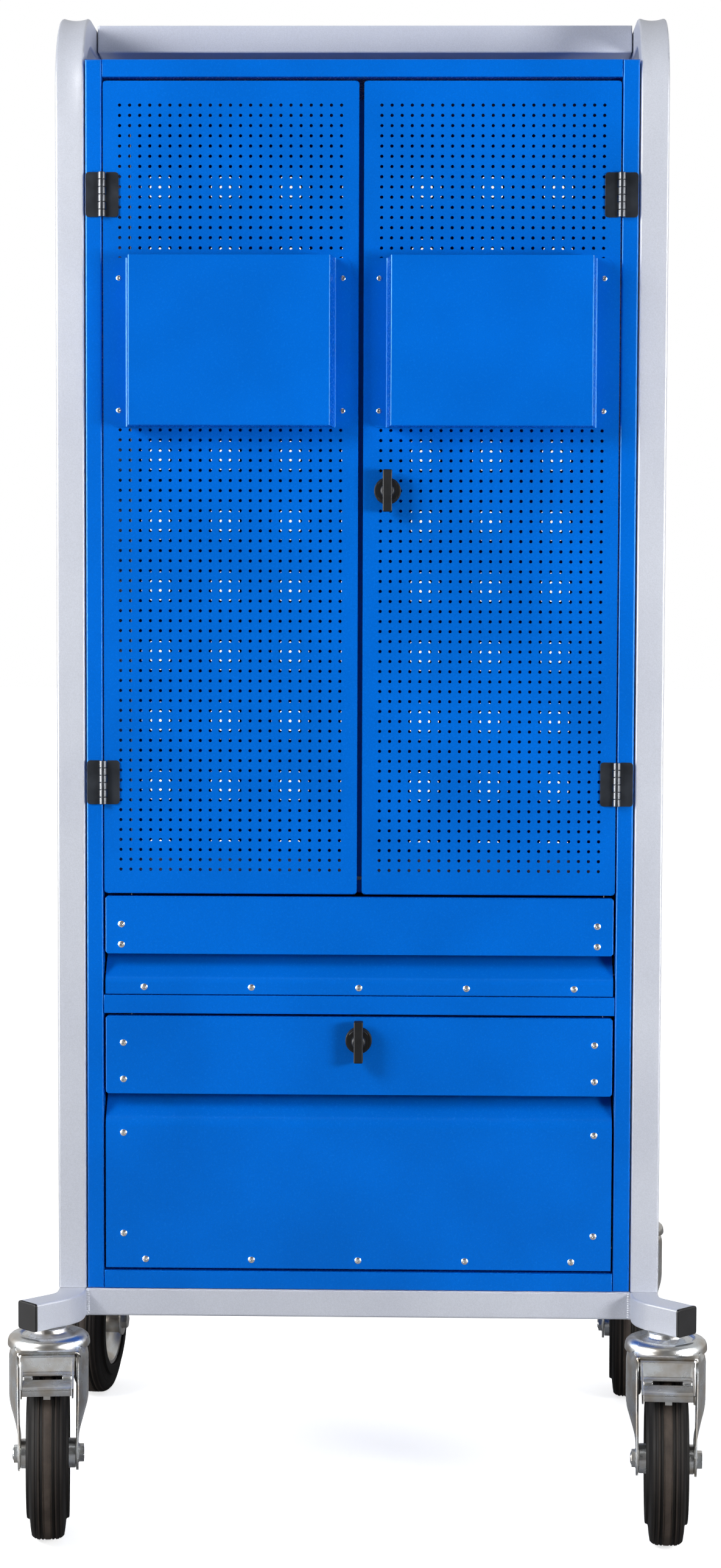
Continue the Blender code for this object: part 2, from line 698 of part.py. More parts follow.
def make_knob(name, place, cam_depth, cam_length):
    """A wing knob on a panel, with its shaft through the panel and its cam behind."""
    seat = Matrix.Identity(4)
    back = -cam_depth - CAM_SHEET
    knob = rod(name, KNOB_RADIUS, GAP, KNOB_BASE, seat, 2 * ROUND_STEPS)
    bm = bmesh.new()
    bm.from_mesh(knob.data)
    rim = [e for e in bm.edges if min(v.co.z for v in e.verts) > KNOB_BASE - WELD]
    bmesh.ops.bevel(bm, geom=rim, offset=KNOB_BEVEL, segments=1, profile=0.5, affect="EDGES", material=-1)
    bm.to_mesh(knob.data)
    bm.free()
    half = (WING_WIDTH / 2, WING_LENGTH / 2)
    wing = block("wing", (-half[0], -half[1], KNOB_BASE / 2), (half[0], half[1], KNOB_BASE + WING_RISE))
    bevel = wing.modifiers.new("rounding", "BEVEL")
    bevel.width = KNOB_BEVEL
    bevel.segments = 2
    combine(knob, wing, "UNION")
    combine(knob, rod("knob_shaft", SHAFT_RADIUS, -cam_depth - CAM_SHEET / 2, KNOB_BASE / 2, seat), "UNION")
    side = CAM_WIDTH / 2
    combine(knob, block("knob_cam", (-side, -side, back), (side, cam_length, -cam_depth)), "UNION")
    knob = smoothed(settled(knob))
    knob.location = place
    knob.rotation_euler = FACING_FRONT.to_euler()
    finish(knob, BLACK_PLASTIC)


def make_knobs():
    """The doors' knob, whose cam clears the door's folds, and the lower drawer's."""
    make_knob("door_knob", door_knob_place(), DOOR_DEPTH + OVERRUN / 2, DOOR_CAM_LENGTH)
    place = drawer_knob_place()
    length = MIDDLE_RAIL_Z - CAM_TIP_GAP - place.z
    make_knob("drawer_knob", place, (PANEL_RETURN + GRIP_DEPTH - CAM_SHEET) / 2, length)


def drawer_knob_place():
    """The middle of the drawer knob's seat on the lower drawer's panel."""
    return Vector((0, FRONT_Y, LOWER_DRAWER_TOP - DRAWER_KNOB_DROP))


def make_drawer(name, low, high, panel_height, lip_height, box_height, lip_name):
    """One drawer: its upper panel, the panel below it that forms the grip, and its box."""
    half = OPENING_X - DRAWER_SIDE_GAP
    grip_back = FRONT_Y + GRIP_DEPTH
    panel_z = high - panel_height
    upper = [(PANEL_RETURN, high), (0, high), (0, panel_z)]
    bm = strip([(-half, FRONT_Y + y, z) for y, z in upper], (2 * half, 0, 0), (0, 0, 1))
    panel = mesh_object(f"{name}_panel", bm)
    solidify(panel, SHEET)
    for sign in (-1, 1):
        xs = sorted((sign * (half - SHEET), sign * half))
        cheek_low = (xs[0], FRONT_Y + SHEET / 2, panel_z)
        cheek_high = (xs[1], grip_back - GAP, high - SHEET / 2)
        combine(panel, block(f"{name}_cheek", cheek_low, cheek_high), "UNION")
    fold = [(GRIP_DEPTH, low), (0, low), (0, low + lip_height), (GRIP_DEPTH, panel_z), (GRIP_DEPTH, high - OVERRUN)]
    bm = strip([(-half, FRONT_Y + y, z) for y, z in fold], (2 * half, 0, 0), (0, 0, -1))
    finish(solidify(mesh_object(lip_name, bm), SHEET), POWDER_BLUE)
    make_box(name, grip_back + SHEET + GAP, low + BOX_LIFT, box_height)
    return panel


def make_box(name, near, low, height):
    """The drawer's open box with a runner bar on each side."""
    half = OPENING_X - BOX_SIDE_ROOM
    far = near + BOX_LENGTH
    box = pan(f"{name}_box", (-half, near, low), (half, far, low + height), SHEET, [(0, 0, 1)])
    for sign in (-1, 1):
        xs = sorted((sign * (half - SHEET / 2), sign * (half + RUNNER_BAR)))
        bar_z = low + RUNNER_LIFT
        bar = block(f"{name}_bar", (xs[0], near, bar_z), (xs[1], far, bar_z + RUNNER_HEIGHT))
        combine(box, bar, "UNION")
    finish(box, POWDER_BLUE)
    for side, sign in (("left", -1), ("right", 1)):
        make_runner(f"{side}_{name}_runner", sign, half, low + RUNNER_LIFT)


def make_runner(name, sign, box_half, bar_z):
    """A channel round the drawer's bar, with a foot that reaches the cabinet's side."""
    web = box_half + RUNNER_BAR + RUNNER_PLAY
    lip = web - RUNNER_LIP
    low, high = bar_z - RUNNER_PLAY, bar_z + RUNNER_HEIGHT + RUNNER_PLAY
    foot_low = (low + high - RUNNER_SHEET) / 2
    foot_high = foot_low + RUNNER_SHEET
    back = web + RUNNER_SHEET
    outline = [
        (lip, high),
        (lip, high + RUNNER_SHEET),
        (back, high + RUNNER_SHEET),
        (back, foot_high),
        (INNER_X, foot_high),
        (INNER_X, foot_low),
        (back, foot_low),
        (back, low - RUNNER_SHEET),
        (lip, low - RUNNER_SHEET),
        (lip, low),
        (web, low),
        (web, high),
    ]
    near, far = INNER_FRONT + RUNNER_SETBACK, INNER_BACK - RUNNER_SETBACK
    centre = (0, (near + far) / 2, 0)
    mirrored = [(sign * x, z) for x, z in outline]
    finish(plate(name, [mirrored], far - near, FACING_FRONT, centre), ZINC)


def make_drawers():
    """The shallow upper drawer and the deep lower one with its knob."""
    panel = make_drawer(
        "upper_drawer",
        UPPER_DRAWER_Z,
        UPPER_DRAWER_TOP,
        UPPER_PANEL_HEIGHT,
        UPPER_LIP_HEIGHT,
        UPPER_FRONT_HEIGHT * BOX_SHARE,
        "upper_drawer_lip",
    )
    finish(panel, POWDER_BLUE)
    height = LOWER_DRAWER_TOP - LOWER_DRAWER_Z
    lip_height = height - LOWER_PANEL_HEIGHT - GRIP_HEIGHT
    panel = make_drawer(
        "lower_drawer",
        LOWER_DRAWER_Z,
        LOWER_DRAWER_TOP,
        LOWER_PANEL_HEIGHT,
        lip_height,
        height * LOWER_BOX_SHARE,
        "lower_drawer_front",
    )
    hole = Matrix.Translation(drawer_knob_place()) @ FACING_FRONT
    cutter = rod("drawer_knob_hole", SHAFT_RADIUS + GAP, -OVERRUN, OVERRUN, hole)
    finish(combine(panel, cutter, "DIFFERENCE"), POWDER_BLUE)


def wheel_meshes():
    """A caster's turned rim and tyre, about their own Z."""
    web, wide = RIM_WEB / 2, RIM_WIDTH / 2
    inner, bore = RIM_RADIUS - RIM_WALL, AXLE_RADIUS + GAP
    half = [(bore, HUB_HALF), (HUB_RADIUS, HUB_HALF), (HUB_RADIUS, web), (inner, web), (inner, wide)]
    half.append((RIM_RADIUS, wide))
    rim = turned("rim", half + [(r, -z) for r, z in reversed(half)], RIM_STEPS, True)
    seat, band = RIM_RADIUS + GAP, RIM_RADIUS + TYRE_BAND
    half = [(seat, TYRE_WIDTH / 2), (band, TYRE_WIDTH / 2), (band + TYRE_STEP, TYRE_WALL_WIDTH / 2)]
    half.append((WHEEL_RADIUS - TYRE_CROWN, TYRE_SHOULDER_WIDTH / 2))
    half.append((WHEEL_RADIUS, TYRE_CROWN_WIDTH / 2))
    tyre = turned("tyre", half + [(r, -z) for r, z in reversed(half)], TYRE_STEPS, True)
    return settled(rim), settled(tyre)


def axle_mesh():
    """The axle bolt with its head and nut, about its own Z."""
    nut_low = FORK_AXLE_HALF + GAP
    nut_high = nut_low + NUT_LENGTH
    middle = nut_low + NUT_LENGTH / 2
    bolt = rod("axle", AXLE_RADIUS, -middle, middle, FACING_UP)
    combine(bolt, rod("bolt_head", NUT_RADIUS, nut_low, nut_high, FACING_UP, 6), "UNION")
    combine(bolt, rod("bolt_nut", NUT_RADIUS, -nut_high, -nut_low, FACING_UP, 6), "UNION")
    return settled(bolt)


def fork_half(forward):
    """Half the fork's width above its taper, at a distance in front of the swivel's axis."""
    share = max(0, 1 - ((forward - FLARE_MIDDLE) / FLARE_REACH) ** 2)
    return FORK_AXLE_HALF + (FORK_TOP_WIDTH / 2 - FORK_AXLE_HALF) * share


def fork_section(forward):
    """The fork's outline seen from the front, from one leg's foot over the crown to the other's."""
    wide = fork_half(forward)
    foot = WHEEL_RADIUS - FORK_END - OVERRUN
    half = [(FORK_AXLE_HALF, foot), (FORK_AXLE_HALF, WHEEL_RADIUS + FORK_TAPER_BOTTOM)]
    half.append((wide, WHEEL_RADIUS + FORK_TAPER_TOP))
    half += arc((wide - FORK_SHOULDER, CROWN_Z - FORK_SHOULDER), FORK_SHOULDER, 0, math.pi / 2, LEG_STEPS)
    line = half + [(-x, z) for x, z in reversed(half)]
    return [Vector((x, -forward, z)) for x, z in line]


def fork_mesh():
    """The pressed fork with its swivel head. Its own Z is the swivel's axis, from the floor up."""
    back, tip = -FORK_BACK - OVERRUN, TRAIL + FORK_END + OVERRUN
    stations = [back + (tip - back) * share for share in FLARE_STATION_SHARES] + [PIN_FORWARD, tip]
    fork = mesh_object("fork", loft([fork_section(forward) for forward in stations], (1, 0, 0)))
    solidify(fork, FORK_SHEET)
    cheek = CROWN_Z - FORK_CHEEK
    end = arc((TRAIL, WHEEL_RADIUS), FORK_END, -math.pi, 0, ROUND_STEPS // 2)
    top = CROWN_Z + OVERRUN
    side = [(-FORK_BACK, top), (-FORK_BACK, cheek)] + end + [(FORK_FRONT, cheek), (FORK_FRONT, top)]
    combine(fork, plate("fork_side", [side], FORK_TOP_WIDTH + OVERRUN, FACING_SIDE), "INTERSECT")
    axle = Matrix.Translation((0, -TRAIL, WHEEL_RADIUS)) @ Matrix.Rotation(math.pi / 2, 4, "Y")
    bore = rod("axle_bore", AXLE_RADIUS + GAP, -FORK_TOP_WIDTH, FORK_TOP_WIDTH, axle)
    combine(fork, bore, "DIFFERENCE")
    combine(fork, head_mesh(), "UNION")
    return smoothed(settled(fork))


def head_mesh():
    """The swivel head: a boss on the leg, a domed ring and the kingpin's nut below."""
    top, crest = CASTER_HEIGHT - GAP, CASTER_HEIGHT - HEAD_CREST
    rim = CROWN_Z - FORK_SHEET - HEAD_RIM / 2
    profile = [
        (0, top),
        (HEAD_BOSS_RADIUS, top),
        (HEAD_BOSS_RADIUS, crest),
        (HEAD_RADIUS - 2 * HEAD_RIM, crest),
        (HEAD_RADIUS, crest - HEAD_RIM),
        (HEAD_RADIUS, rim),
        (KINGPIN_RADIUS, rim),
        (KINGPIN_RADIUS, rim - KINGPIN_NUT),
        (0, rim - KINGPIN_NUT),
    ]
    return settled(turned("swivel_head", profile, HEAD_STEPS, False))


def make_pedal(name, swivel):
    """A brake pedal in its caster's frame: the plate's side view is (forward, height) points."""
    half, pin_z = PEDAL_WIDTH / 2, CROWN_Z - PEDAL_PIN_DROP
    back = FORK_FRONT + PEDAL_LEAD
    knee, knee_z = back + PEDAL_RUN, CROWN_Z - OVERRUN - PEDAL_FALL
    edge, edge_z = knee + PEDAL_PLATE, knee_z - PEDAL_TILT
    line = [(back, CROWN_Z - OVERRUN), (knee, knee_z), (edge, edge_z), (edge, edge_z - PEDAL_LIP)]
    points = [(-half, -forward, z) for forward, z in line]
    pedal = mesh_object(name, strip(points, (PEDAL_WIDTH, 0, 0), (0, -1, 0)))
    pedal = settled(solidify(pedal, PEDAL_SHEET))
    window = PEDAL_WINDOW_WIDTH / 2
    low = (-window, -knee - PEDAL_EAR - PEDAL_WINDOW, edge_z - PEDAL_SHEET - OVERRUN)
    combine(pedal, block("pedal_window", low, (window, -knee - PEDAL_EAR, knee_z + OVERRUN)), "DIFFERENCE")
    ear = [
        (PIN_FORWARD - PEDAL_EAR, pin_z - PEDAL_EAR),
        (PIN_FORWARD - PEDAL_EAR, pin_z + PEDAL_EAR / 2),
        (back - PEDAL_LEAD, pin_z + PEDAL_EAR),
        (back, CROWN_Z - OVERRUN - PEDAL_SHEET),
        (knee, knee_z - PEDAL_SHEET / 2),
        (knee + PEDAL_EAR, knee_z - PEDAL_SHEET),
    ]
    for sign in (-1, 1):
        centre = (sign * (half - PEDAL_SHEET), 0, 0)
        cheek = plate("pedal_ear", [ear], PEDAL_SHEET, FACING_SIDE, centre)
        combine(pedal, settled(cheek), "UNION", "MANIFOLD")
    reach = fork_half(PIN_FORWARD) - FORK_SHEET - PEDAL_PIN_PLAY
    across = Matrix.Translation((0, -PIN_FORWARD, pin_z)) @ Matrix.Rotation(math.pi / 2, 4, "Y")
    combine(pedal, rod("pedal_pin", PEDAL_PIN_RADIUS, -reach, reach, across), "UNION", "MANIFOLD")
    pedal = settled(pedal)
    pedal.parent = swivel
    finish(pedal, ZINC)


def make_casters():
    """Four swivel casters, each turned as it came to rest, the front ones with a brake pedal."""
    rim, tyre = wheel_meshes()
    axle, fork = axle_mesh(), fork_mesh()
    for name, heading in HEADINGS.items():
        front = -1 if "front" in name else 1
        side = -1 if "left" in name else 1
        swivel = bpy.data.objects.new(f"swivel_{name}", None)
        swivel.location = (side * CASTER_X, CENTRE_Y + front * CASTER_Y, 0)
        swivel.rotation_euler = (0, 0, heading)
        cart.objects.link(swivel)
        twin = copy_of(fork, f"fork_{name}")
        twin.parent = swivel
        finish(twin, ZINC)
        for kind, mesh, look in (("rim", rim, ZINC), ("tyre", tyre, RUBBER), ("axle", axle, ZINC)):
            twin = copy_of(mesh, f"{kind}_{name}")
            twin.parent = swivel
            twin.location = (0, -TRAIL, WHEEL_RADIUS)
            twin.rotation_euler = (0, math.pi / 2, 0)
            finish(twin, look)
        if front < 0:
            make_pedal(f"pedal_{name}", swivel)
    for source in (rim, tyre, axle, fork):
        bpy.data.objects.remove(source, do_unlink=True)


tube_section = make_tube_section()
make_arches()
make_base()
make_tray()
make_cabinet()
make_doors()
make_knobs()
make_drawers()
make_casters()
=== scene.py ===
# %% [markdown]
# # A tool cart, dressed over its CAD frame
# The real cart is a tall steel cabinet with two perforated doors and two drawers. It hangs between
# two bent tube arches that stand on a base with four casters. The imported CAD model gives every
# place and every moving body, so this script only has to give each piece its true surface.
# All lengths are in metres: +X is to the right, the doors face -Y, and Z is up from the floor.

# %% Load the frame
import math

import bmesh
import bpy
from mathutils import Matrix, Vector


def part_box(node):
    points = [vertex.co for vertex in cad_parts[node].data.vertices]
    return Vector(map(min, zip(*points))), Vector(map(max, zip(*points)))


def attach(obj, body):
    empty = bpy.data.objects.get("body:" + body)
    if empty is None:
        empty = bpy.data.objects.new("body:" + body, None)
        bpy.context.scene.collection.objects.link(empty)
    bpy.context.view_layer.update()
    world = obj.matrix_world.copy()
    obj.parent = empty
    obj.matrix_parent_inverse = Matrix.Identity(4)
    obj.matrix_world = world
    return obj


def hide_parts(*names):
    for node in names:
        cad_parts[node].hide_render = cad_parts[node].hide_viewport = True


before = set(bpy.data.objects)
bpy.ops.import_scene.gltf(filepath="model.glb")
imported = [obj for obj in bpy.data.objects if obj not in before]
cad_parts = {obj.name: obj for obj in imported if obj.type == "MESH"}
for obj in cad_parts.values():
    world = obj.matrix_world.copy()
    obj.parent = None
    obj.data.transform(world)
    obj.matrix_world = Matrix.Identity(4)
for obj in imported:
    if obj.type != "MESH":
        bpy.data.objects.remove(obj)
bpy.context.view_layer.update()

# %% [markdown]
# ## Colours and nodes
# A colour given here is an sRGB hex value, but light adds up in linear values, so one function
# converts it. A material is a small graph of nodes: one helper adds a node, sets its options and
# fills its sockets, either with a number or with another node's output.

# %% Helpers for materials
def srgb(code):
    """The linear RGBA colour of an sRGB hex value."""
    seen = [int(code[i : i + 2], 16) / 255 for i in (0, 2, 4)]
    return (*[c / 12.92 if c <= 0.04045 else ((c + 0.055) / 1.055) ** 2.4 for c in seen], 1)


def add(material, kind, inputs, **options):
    """Adds a node to a material. An input takes a value, or an output socket to link."""
    made = material.node_tree.nodes.new("ShaderNode" + kind)
    for name, value in options.items():
        setattr(made, name, value)
    for name, value in inputs.items():
        if isinstance(value, bpy.types.NodeSocket):
            material.node_tree.links.new(value, made.inputs[name])
        else:
            made.inputs[name].default_value = value
    return made


def new_material(name, **sockets):
    """A Principled material and its shader, with fixed values set on the shader's own sockets."""
    material = bpy.data.materials.new(name)
    material.use_nodes = True
    shader = material.node_tree.nodes["Principled BSDF"]
    for socket, value in sockets.items():
        shader.inputs[socket.replace("_", " ")].default_value = value
    return material, shader


def wire(material, shader, **outputs):
    """Links outputs to the shader's sockets, such as Base_Color, Roughness and Normal."""
    for socket, output in outputs.items():
        material.node_tree.links.new(output, shader.inputs[socket.replace("_", " ")])
    print("material", material.name)


def per_mm(size_mm):
    """The scale that makes one cell of a pattern this many millimetres wide."""
    return 1000 / size_mm

# %% [markdown]
# ## Powder coat
# The cabinet and the tubes are sprayed with polyester powder that melts into a tough, semi-gloss
# skin. Up close it has an orange-peel texture: waves 2.6 mm wide and a grain of about 1 mm. Both go
# into the bump. The colour itself only drifts by a few per cent over hand-sized areas, where the
# film is thinner or thicker, and very fine specks stand for the grain's tiny lights and shades.
# The blue film also tints what it mirrors head-on, so that white light doesn't make it violet.

# %% Powder coat, blue and grey
def powder_coat(name, colour, shade, roughness, peel, specular, glint):
    """Polyester powder coat: colour where the film is full, shade where it is thin, and glint, the
    tint of what it mirrors head-on. A glancing mirror image stays white."""
    coat = {"IOR": 1.5, "Specular_IOR_Level": specular, "Specular_Tint": srgb(glint)}
    material, shader = new_material(name, **coat)
    place = add(material, "TexCoord", {}).outputs["Object"]
    film = add(material, "TexNoise", {"Vector": place, "Scale": per_mm(160), "Detail": 2})
    grain = add(material, "TexNoise", {"Vector": place, "Scale": per_mm(1.1), "Detail": 3})
    waves = add(material, "TexNoise", {"Vector": place, "Scale": per_mm(2.6), "Detail": 2})
    thin = add(material, "MapRange", {
        "Value": film.outputs["Fac"], "From Min": 0.35, "From Max": 0.65,
    })
    drift = add(material, "Mix", {
        "Factor": thin.outputs["Result"], "A": srgb(colour), "B": srgb(shade),
    }, data_type="RGBA")
    speck = add(material, "MapRange", {
        "Value": grain.outputs["Fac"],
        "From Min": 0.3, "From Max": 0.7, "To Min": 0.93, "To Max": 1.07,
    })
    toned = add(material, "HueSaturation", {
        "Color": drift.outputs["Result"], "Value": speck.outputs["Result"],
    })
    gloss = add(material, "MapRange", {
        "Value": waves.outputs["Fac"], "To Min": roughness - 0.06, "To Max": roughness + 0.06,
    })
    height = add(material, "Math", {
        0: waves.outputs["Fac"], 1: grain.outputs["Fac"],
    }, operation="ADD")
    bump = add(material, "Bump", {
        "Height": height.outputs["Value"], "Strength": peel, "Distance": 0.0002,
    })
    wire(
        material, shader, Base_Color=toned.outputs["Color"],
        Roughness=gloss.outputs["Result"], Normal=bump.outputs["Normal"],
    )
    return material


blue = powder_coat(
    "blue polyester powder coat", "006AD8", "0063CB", 0.26, 0.22, 0.25, "89E1FF"
)
grey = powder_coat(
    "light grey polyester powder coat", "C9CDD8", "C1C5D1", 0.40, 0.35, 0.5, "FFFFFF"
)

# %% [markdown]
# ## Other finishes
# The hinges are black zinc-plated steel, and the knobs and the tubes' caps are moulded black nylon
# with a fine spark-eroded grain. The casters are zinc-plated pressings with a yellowish and bluish
# passivation, on solid grey-black rubber. One function makes all four, because they differ only in
# their colours, their gloss and the size and depth of their grain.

# %% Plastic, plated steel and rubber
def simple_grain(name, colour, shade, roughness, grain_mm, depth_mm, **sockets):
    """A finish whose colour and gloss drift between two values over a grain of this size."""
    material, shader = new_material(name, **sockets)
    place = add(material, "TexCoord", {}).outputs["Object"]
    grain = add(material, "TexNoise", {"Vector": place, "Scale": per_mm(grain_mm), "Detail": 4})
    drift = add(material, "TexNoise", {"Vector": place, "Scale": per_mm(25), "Detail": 3})
    tint = add(material, "MapRange", {
        "Value": drift.outputs["Fac"], "From Min": 0.35, "From Max": 0.65,
    })
    mixed = add(material, "Mix", {
        "Factor": tint.outputs["Result"], "A": srgb(colour), "B": srgb(shade),
    }, data_type="RGBA")
    gloss = add(material, "MapRange", {
        "Value": drift.outputs["Fac"], "To Min": roughness - 0.07, "To Max": roughness + 0.07,
    })
    bump = add(material, "Bump", {
        "Height": grain.outputs["Fac"], "Strength": 0.5, "Distance": depth_mm / 1000,
    })
    wire(
        material, shader, Base_Color=mixed.outputs["Result"],
        Roughness=gloss.outputs["Result"], Normal=bump.outputs["Normal"],
    )
    return material


plastic = simple_grain(
    "black spark-eroded nylon", "0B0B0D", "121215", 0.5, 0.7, 0.12,
    IOR=1.53, Specular_IOR_Level=0.15,
)
black_steel = simple_grain(
    "black zinc-plated steel", "20242B", "2B3038", 0.33, 1.2, 0.03, IOR=1.5, Metallic=0.3,
)
zinc = simple_grain(
    "passivated zinc plate", "C6CACD", "ABA49B", 0.28, 2.0, 0.03, Metallic=1.0,
)
rubber = simple_grain("dusty solid rubber", "2E2926", "3A342F", 0.72, 1.5, 0.15, IOR=1.52)

# %% Materials on the CAD nodes
def finish_of(node):
    """The material of a CAD node, from what its name says it is."""
    if node.startswith(("cap_", "door_knob", "drawer_knob")):
        return plastic
    if node.startswith("hinge_"):
        return black_steel
    if node.startswith(("fork_", "rim_", "axle_", "pedal_")) or node.endswith("_runner"):
        return zinc
    if node.startswith("tyre_"):
        return rubber
    if node.endswith(("_arch", "_base_tube", "_base_rail", "_tray")):
        return grey
    return blue


for node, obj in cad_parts.items():
    obj.data.materials.clear()
    obj.data.materials.append(finish_of(node))
print(len(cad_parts), "CAD nodes have a finish")

# %% [markdown]
# ## From bmesh operators to pieces
# A bmesh is a mesh that operators can cut, bend and round. Each piece starts as a simple shape, and
# bevels give it the small radii that catch the light: without them, folded steel looks like paper.
# A finished bmesh becomes an object, shaded smooth but sharp at real edges, that rides on its body.

# %% Helpers for shapes
NEAR = 1e-6


def block(bm, low, high):
    """A box between two corners. Returns its vertices."""
    low, high = Vector(low), Vector(high)
    place = Matrix.Translation((low + high) / 2) @ Matrix.Diagonal((*(high - low), 1))
    return bmesh.ops.create_cube(bm, size=1, matrix=place)["verts"]


def line_of(bm, points):
    """A chain of edges through points. Returns its vertices and edges."""
    line = [bm.verts.new(point) for point in points]
    return line + [bm.edges.new(pair) for pair in zip(line, line[1:])]


def edges_where(bm, test):
    """The edges whose two ends both pass a test of their place."""
    return [e for e in bm.edges if all(test(v.co) for v in e.verts)]


def sharp_edges(bm, angle):
    """The edges where two faces meet at more than this angle, in radians."""
    return [e for e in bm.edges if len(e.link_faces) == 2 and e.calc_face_angle(0) > angle]


def rounded(bm, edges, radius, segments=3, affect="EDGES"):
    """Rounds edges, or the corners at vertices, with an arc of this radius."""
    arc = {"segments": segments, "profile": 0.5, "affect": affect, "material": -1}
    bmesh.ops.bevel(bm, geom=edges, offset=radius, **arc)


def drawn(bm, end, **how):
    """Draws an open end along a straight line or an arc. Returns the new open end."""
    how = {"cent": (0, 0, 0), "axis": (0, 0, 1), "dvec": (0, 0, 0), "angle": 0, "steps": 1, **how}
    return bmesh.ops.spin(bm, geom=end, **how)["geom_last"]


def spun(bm, line, steps, cent=(0, 0, 0), axis=(0, 0, 1)):
    """Spins a line once round an axis, so that its two ends close."""
    turn = {"dvec": (0, 0, 0), "angle": 2 * math.pi, "use_merge": True}
    bmesh.ops.spin(bm, geom=line, steps=steps, cent=cent, axis=axis, **turn)


def repeated(bm, shape, step, times):
    """Copies a shape this many times, in straight steps."""
    how = {"cent": (0, 0, 0), "axis": (0, 0, 1), "angle": 0, "use_duplicate": True}
    bmesh.ops.spin(bm, geom=shape, dvec=step, steps=times, **how)


def piece(name, bm, material, body, stands_for=(), wall=0, sharp=35):
    """Makes the bmesh a piece that rides on a body, and hides the CAD nodes that it stands for."""
    bmesh.ops.remove_doubles(bm, verts=bm.verts, dist=NEAR)
    bmesh.ops.recalc_face_normals(bm, faces=bm.faces)
    if wall:
        bmesh.ops.solidify(bm, geom=bm.faces[:], thickness=wall)
    mesh = bpy.data.meshes.new(name)
    bm.to_mesh(mesh)
    bm.free()
    mesh.shade_smooth()
    mesh.set_sharp_from_angle(angle=math.radians(sharp))
    mesh.materials.append(material)
    obj = bpy.data.objects.new(name, mesh)
    obj.modifiers.new("flat_faces_stay_flat", "WEIGHTED_NORMAL").keep_sharp = True
    bpy.context.scene.collection.objects.link(obj)
    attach(obj, body)
    if stands_for:
        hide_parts(*stands_for)
    print(f"{name}: {len(mesh.polygons)} faces")
    return obj

# %% [markdown]
# ## The tube frame
# Each arch is one square tube, 34 mm wide, bent cold over a die. The outer wall of such a bend is
# stretched and sinks in between the two corners, which stay proud as ridges. A rounded square is
# drawn up, round and along the path with the spin operator, then the outer wall is pressed in.

# %% Sizes of the frame
TUBE = 0.034
CORNER = 0.003
FRONT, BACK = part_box("front_frame")[0].y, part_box("back_panel")[1].y
FOOT, ARCH_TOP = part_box("left_arch")[0].z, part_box("left_arch")[1].z
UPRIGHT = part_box("right_arch")[1].x - TUBE / 2
MIDDLE = (FRONT + BACK) / 2
BEND = 0.075
DISH, FADE = 0.0024, 0.04
print("uprights at x", round(UPRIGHT, 4), "from y", round(FRONT, 4), "to", round(BACK, 4))

# %% A tube's end to draw from
def tube_end(bm, place, cuts=0):
    """A rounded square, with its first side cut finer, moved into place. Returns its edges."""
    square = bmesh.ops.create_grid(bm, x_segments=1, y_segments=1, size=TUBE / 2)["verts"]
    rounded(bm, square, CORNER, affect="VERTICES")
    if cuts:
        side = edges_where(bm, lambda co: co.y < NEAR - TUBE / 2)
        bmesh.ops.subdivide_edges(bm, edges=side, cuts=cuts)
    bm.transform(place)
    return bm.edges[:]

# %% The two arches
def press_in(bm):
    """Sinks the outer wall of both bends between its corners, and fades it out beyond them."""
    rise = ARCH_TOP - TUBE / 2 - BEND
    for v in bm.verts:
        along, up = abs(v.co.y - MIDDLE) - (BACK - MIDDLE - TUBE / 2 - BEND), v.co.z - rise
        ahead, above = max(along, 0), max(up, 0)
        if math.hypot(ahead, above) < BEND + TUBE / 2 - 1e-4:
            continue
        share = max(0, 1 - max(0, -up, -along) / FADE)
        share *= max(0, 1 - ((v.co.x - UPRIGHT) / (TUBE / 2 - CORNER)) ** 2)
        inward = Vector((0, -math.copysign(ahead, v.co.y - MIDDLE), -above)).normalized()
        v.co += inward * DISH * share


quarter_bend = {"axis": (1, 0, 0), "angle": -math.pi / 2, "steps": 18}

for side, sign in (("left", -1), ("right", 1)):
    bm = bmesh.new()
    end = tube_end(bm, Matrix.Translation((UPRIGHT, FRONT + TUBE / 2, FOOT)), cuts=5)
    rise, run = ARCH_TOP - TUBE / 2 - BEND - FOOT, BACK - FRONT - TUBE - 2 * BEND
    centre = Vector((0, FRONT + TUBE / 2 + BEND, FOOT + rise))
    end = drawn(bm, end, dvec=(0, 0, rise - FADE))
    end = drawn(bm, end, dvec=(0, 0, FADE / 2), steps=2)
    end = drawn(bm, end, cent=centre, **quarter_bend)
    end = drawn(bm, end, dvec=(0, FADE / 2, 0), steps=2)
    end = drawn(bm, end, dvec=(0, run - 2 * FADE, 0))
    end = drawn(bm, end, dvec=(0, FADE / 2, 0), steps=2)
    end = drawn(bm, end, cent=centre + Vector((0, run, 0)), **quarter_bend)
    end = drawn(bm, end, dvec=(0, 0, -FADE / 2), steps=2)
    drawn(bm, end, dvec=(0, 0, FADE - rise))
    press_in(bm)
    bmesh.ops.scale(bm, vec=(sign, 1, 1), verts=bm.verts)
    piece(f"{side}_arch_tube", bm, grey, "cabinet", [f"{side}_arch"])

# %% [markdown]
# ## The base
# The base tubes run from front to rear and bend outward by 45 degrees, so that the casters stand
# wide. Half a tube is drawn from the middle, round its bend and out to its end, then mirrored.

# %% Base tubes and rails
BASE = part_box("left_base_tube")[0].z + TUBE / 2
LEG_LEAD, LEG_RADIUS, LEG_LENGTH = 0.013, 0.042, 0.0445
SLANT = math.pi / 4

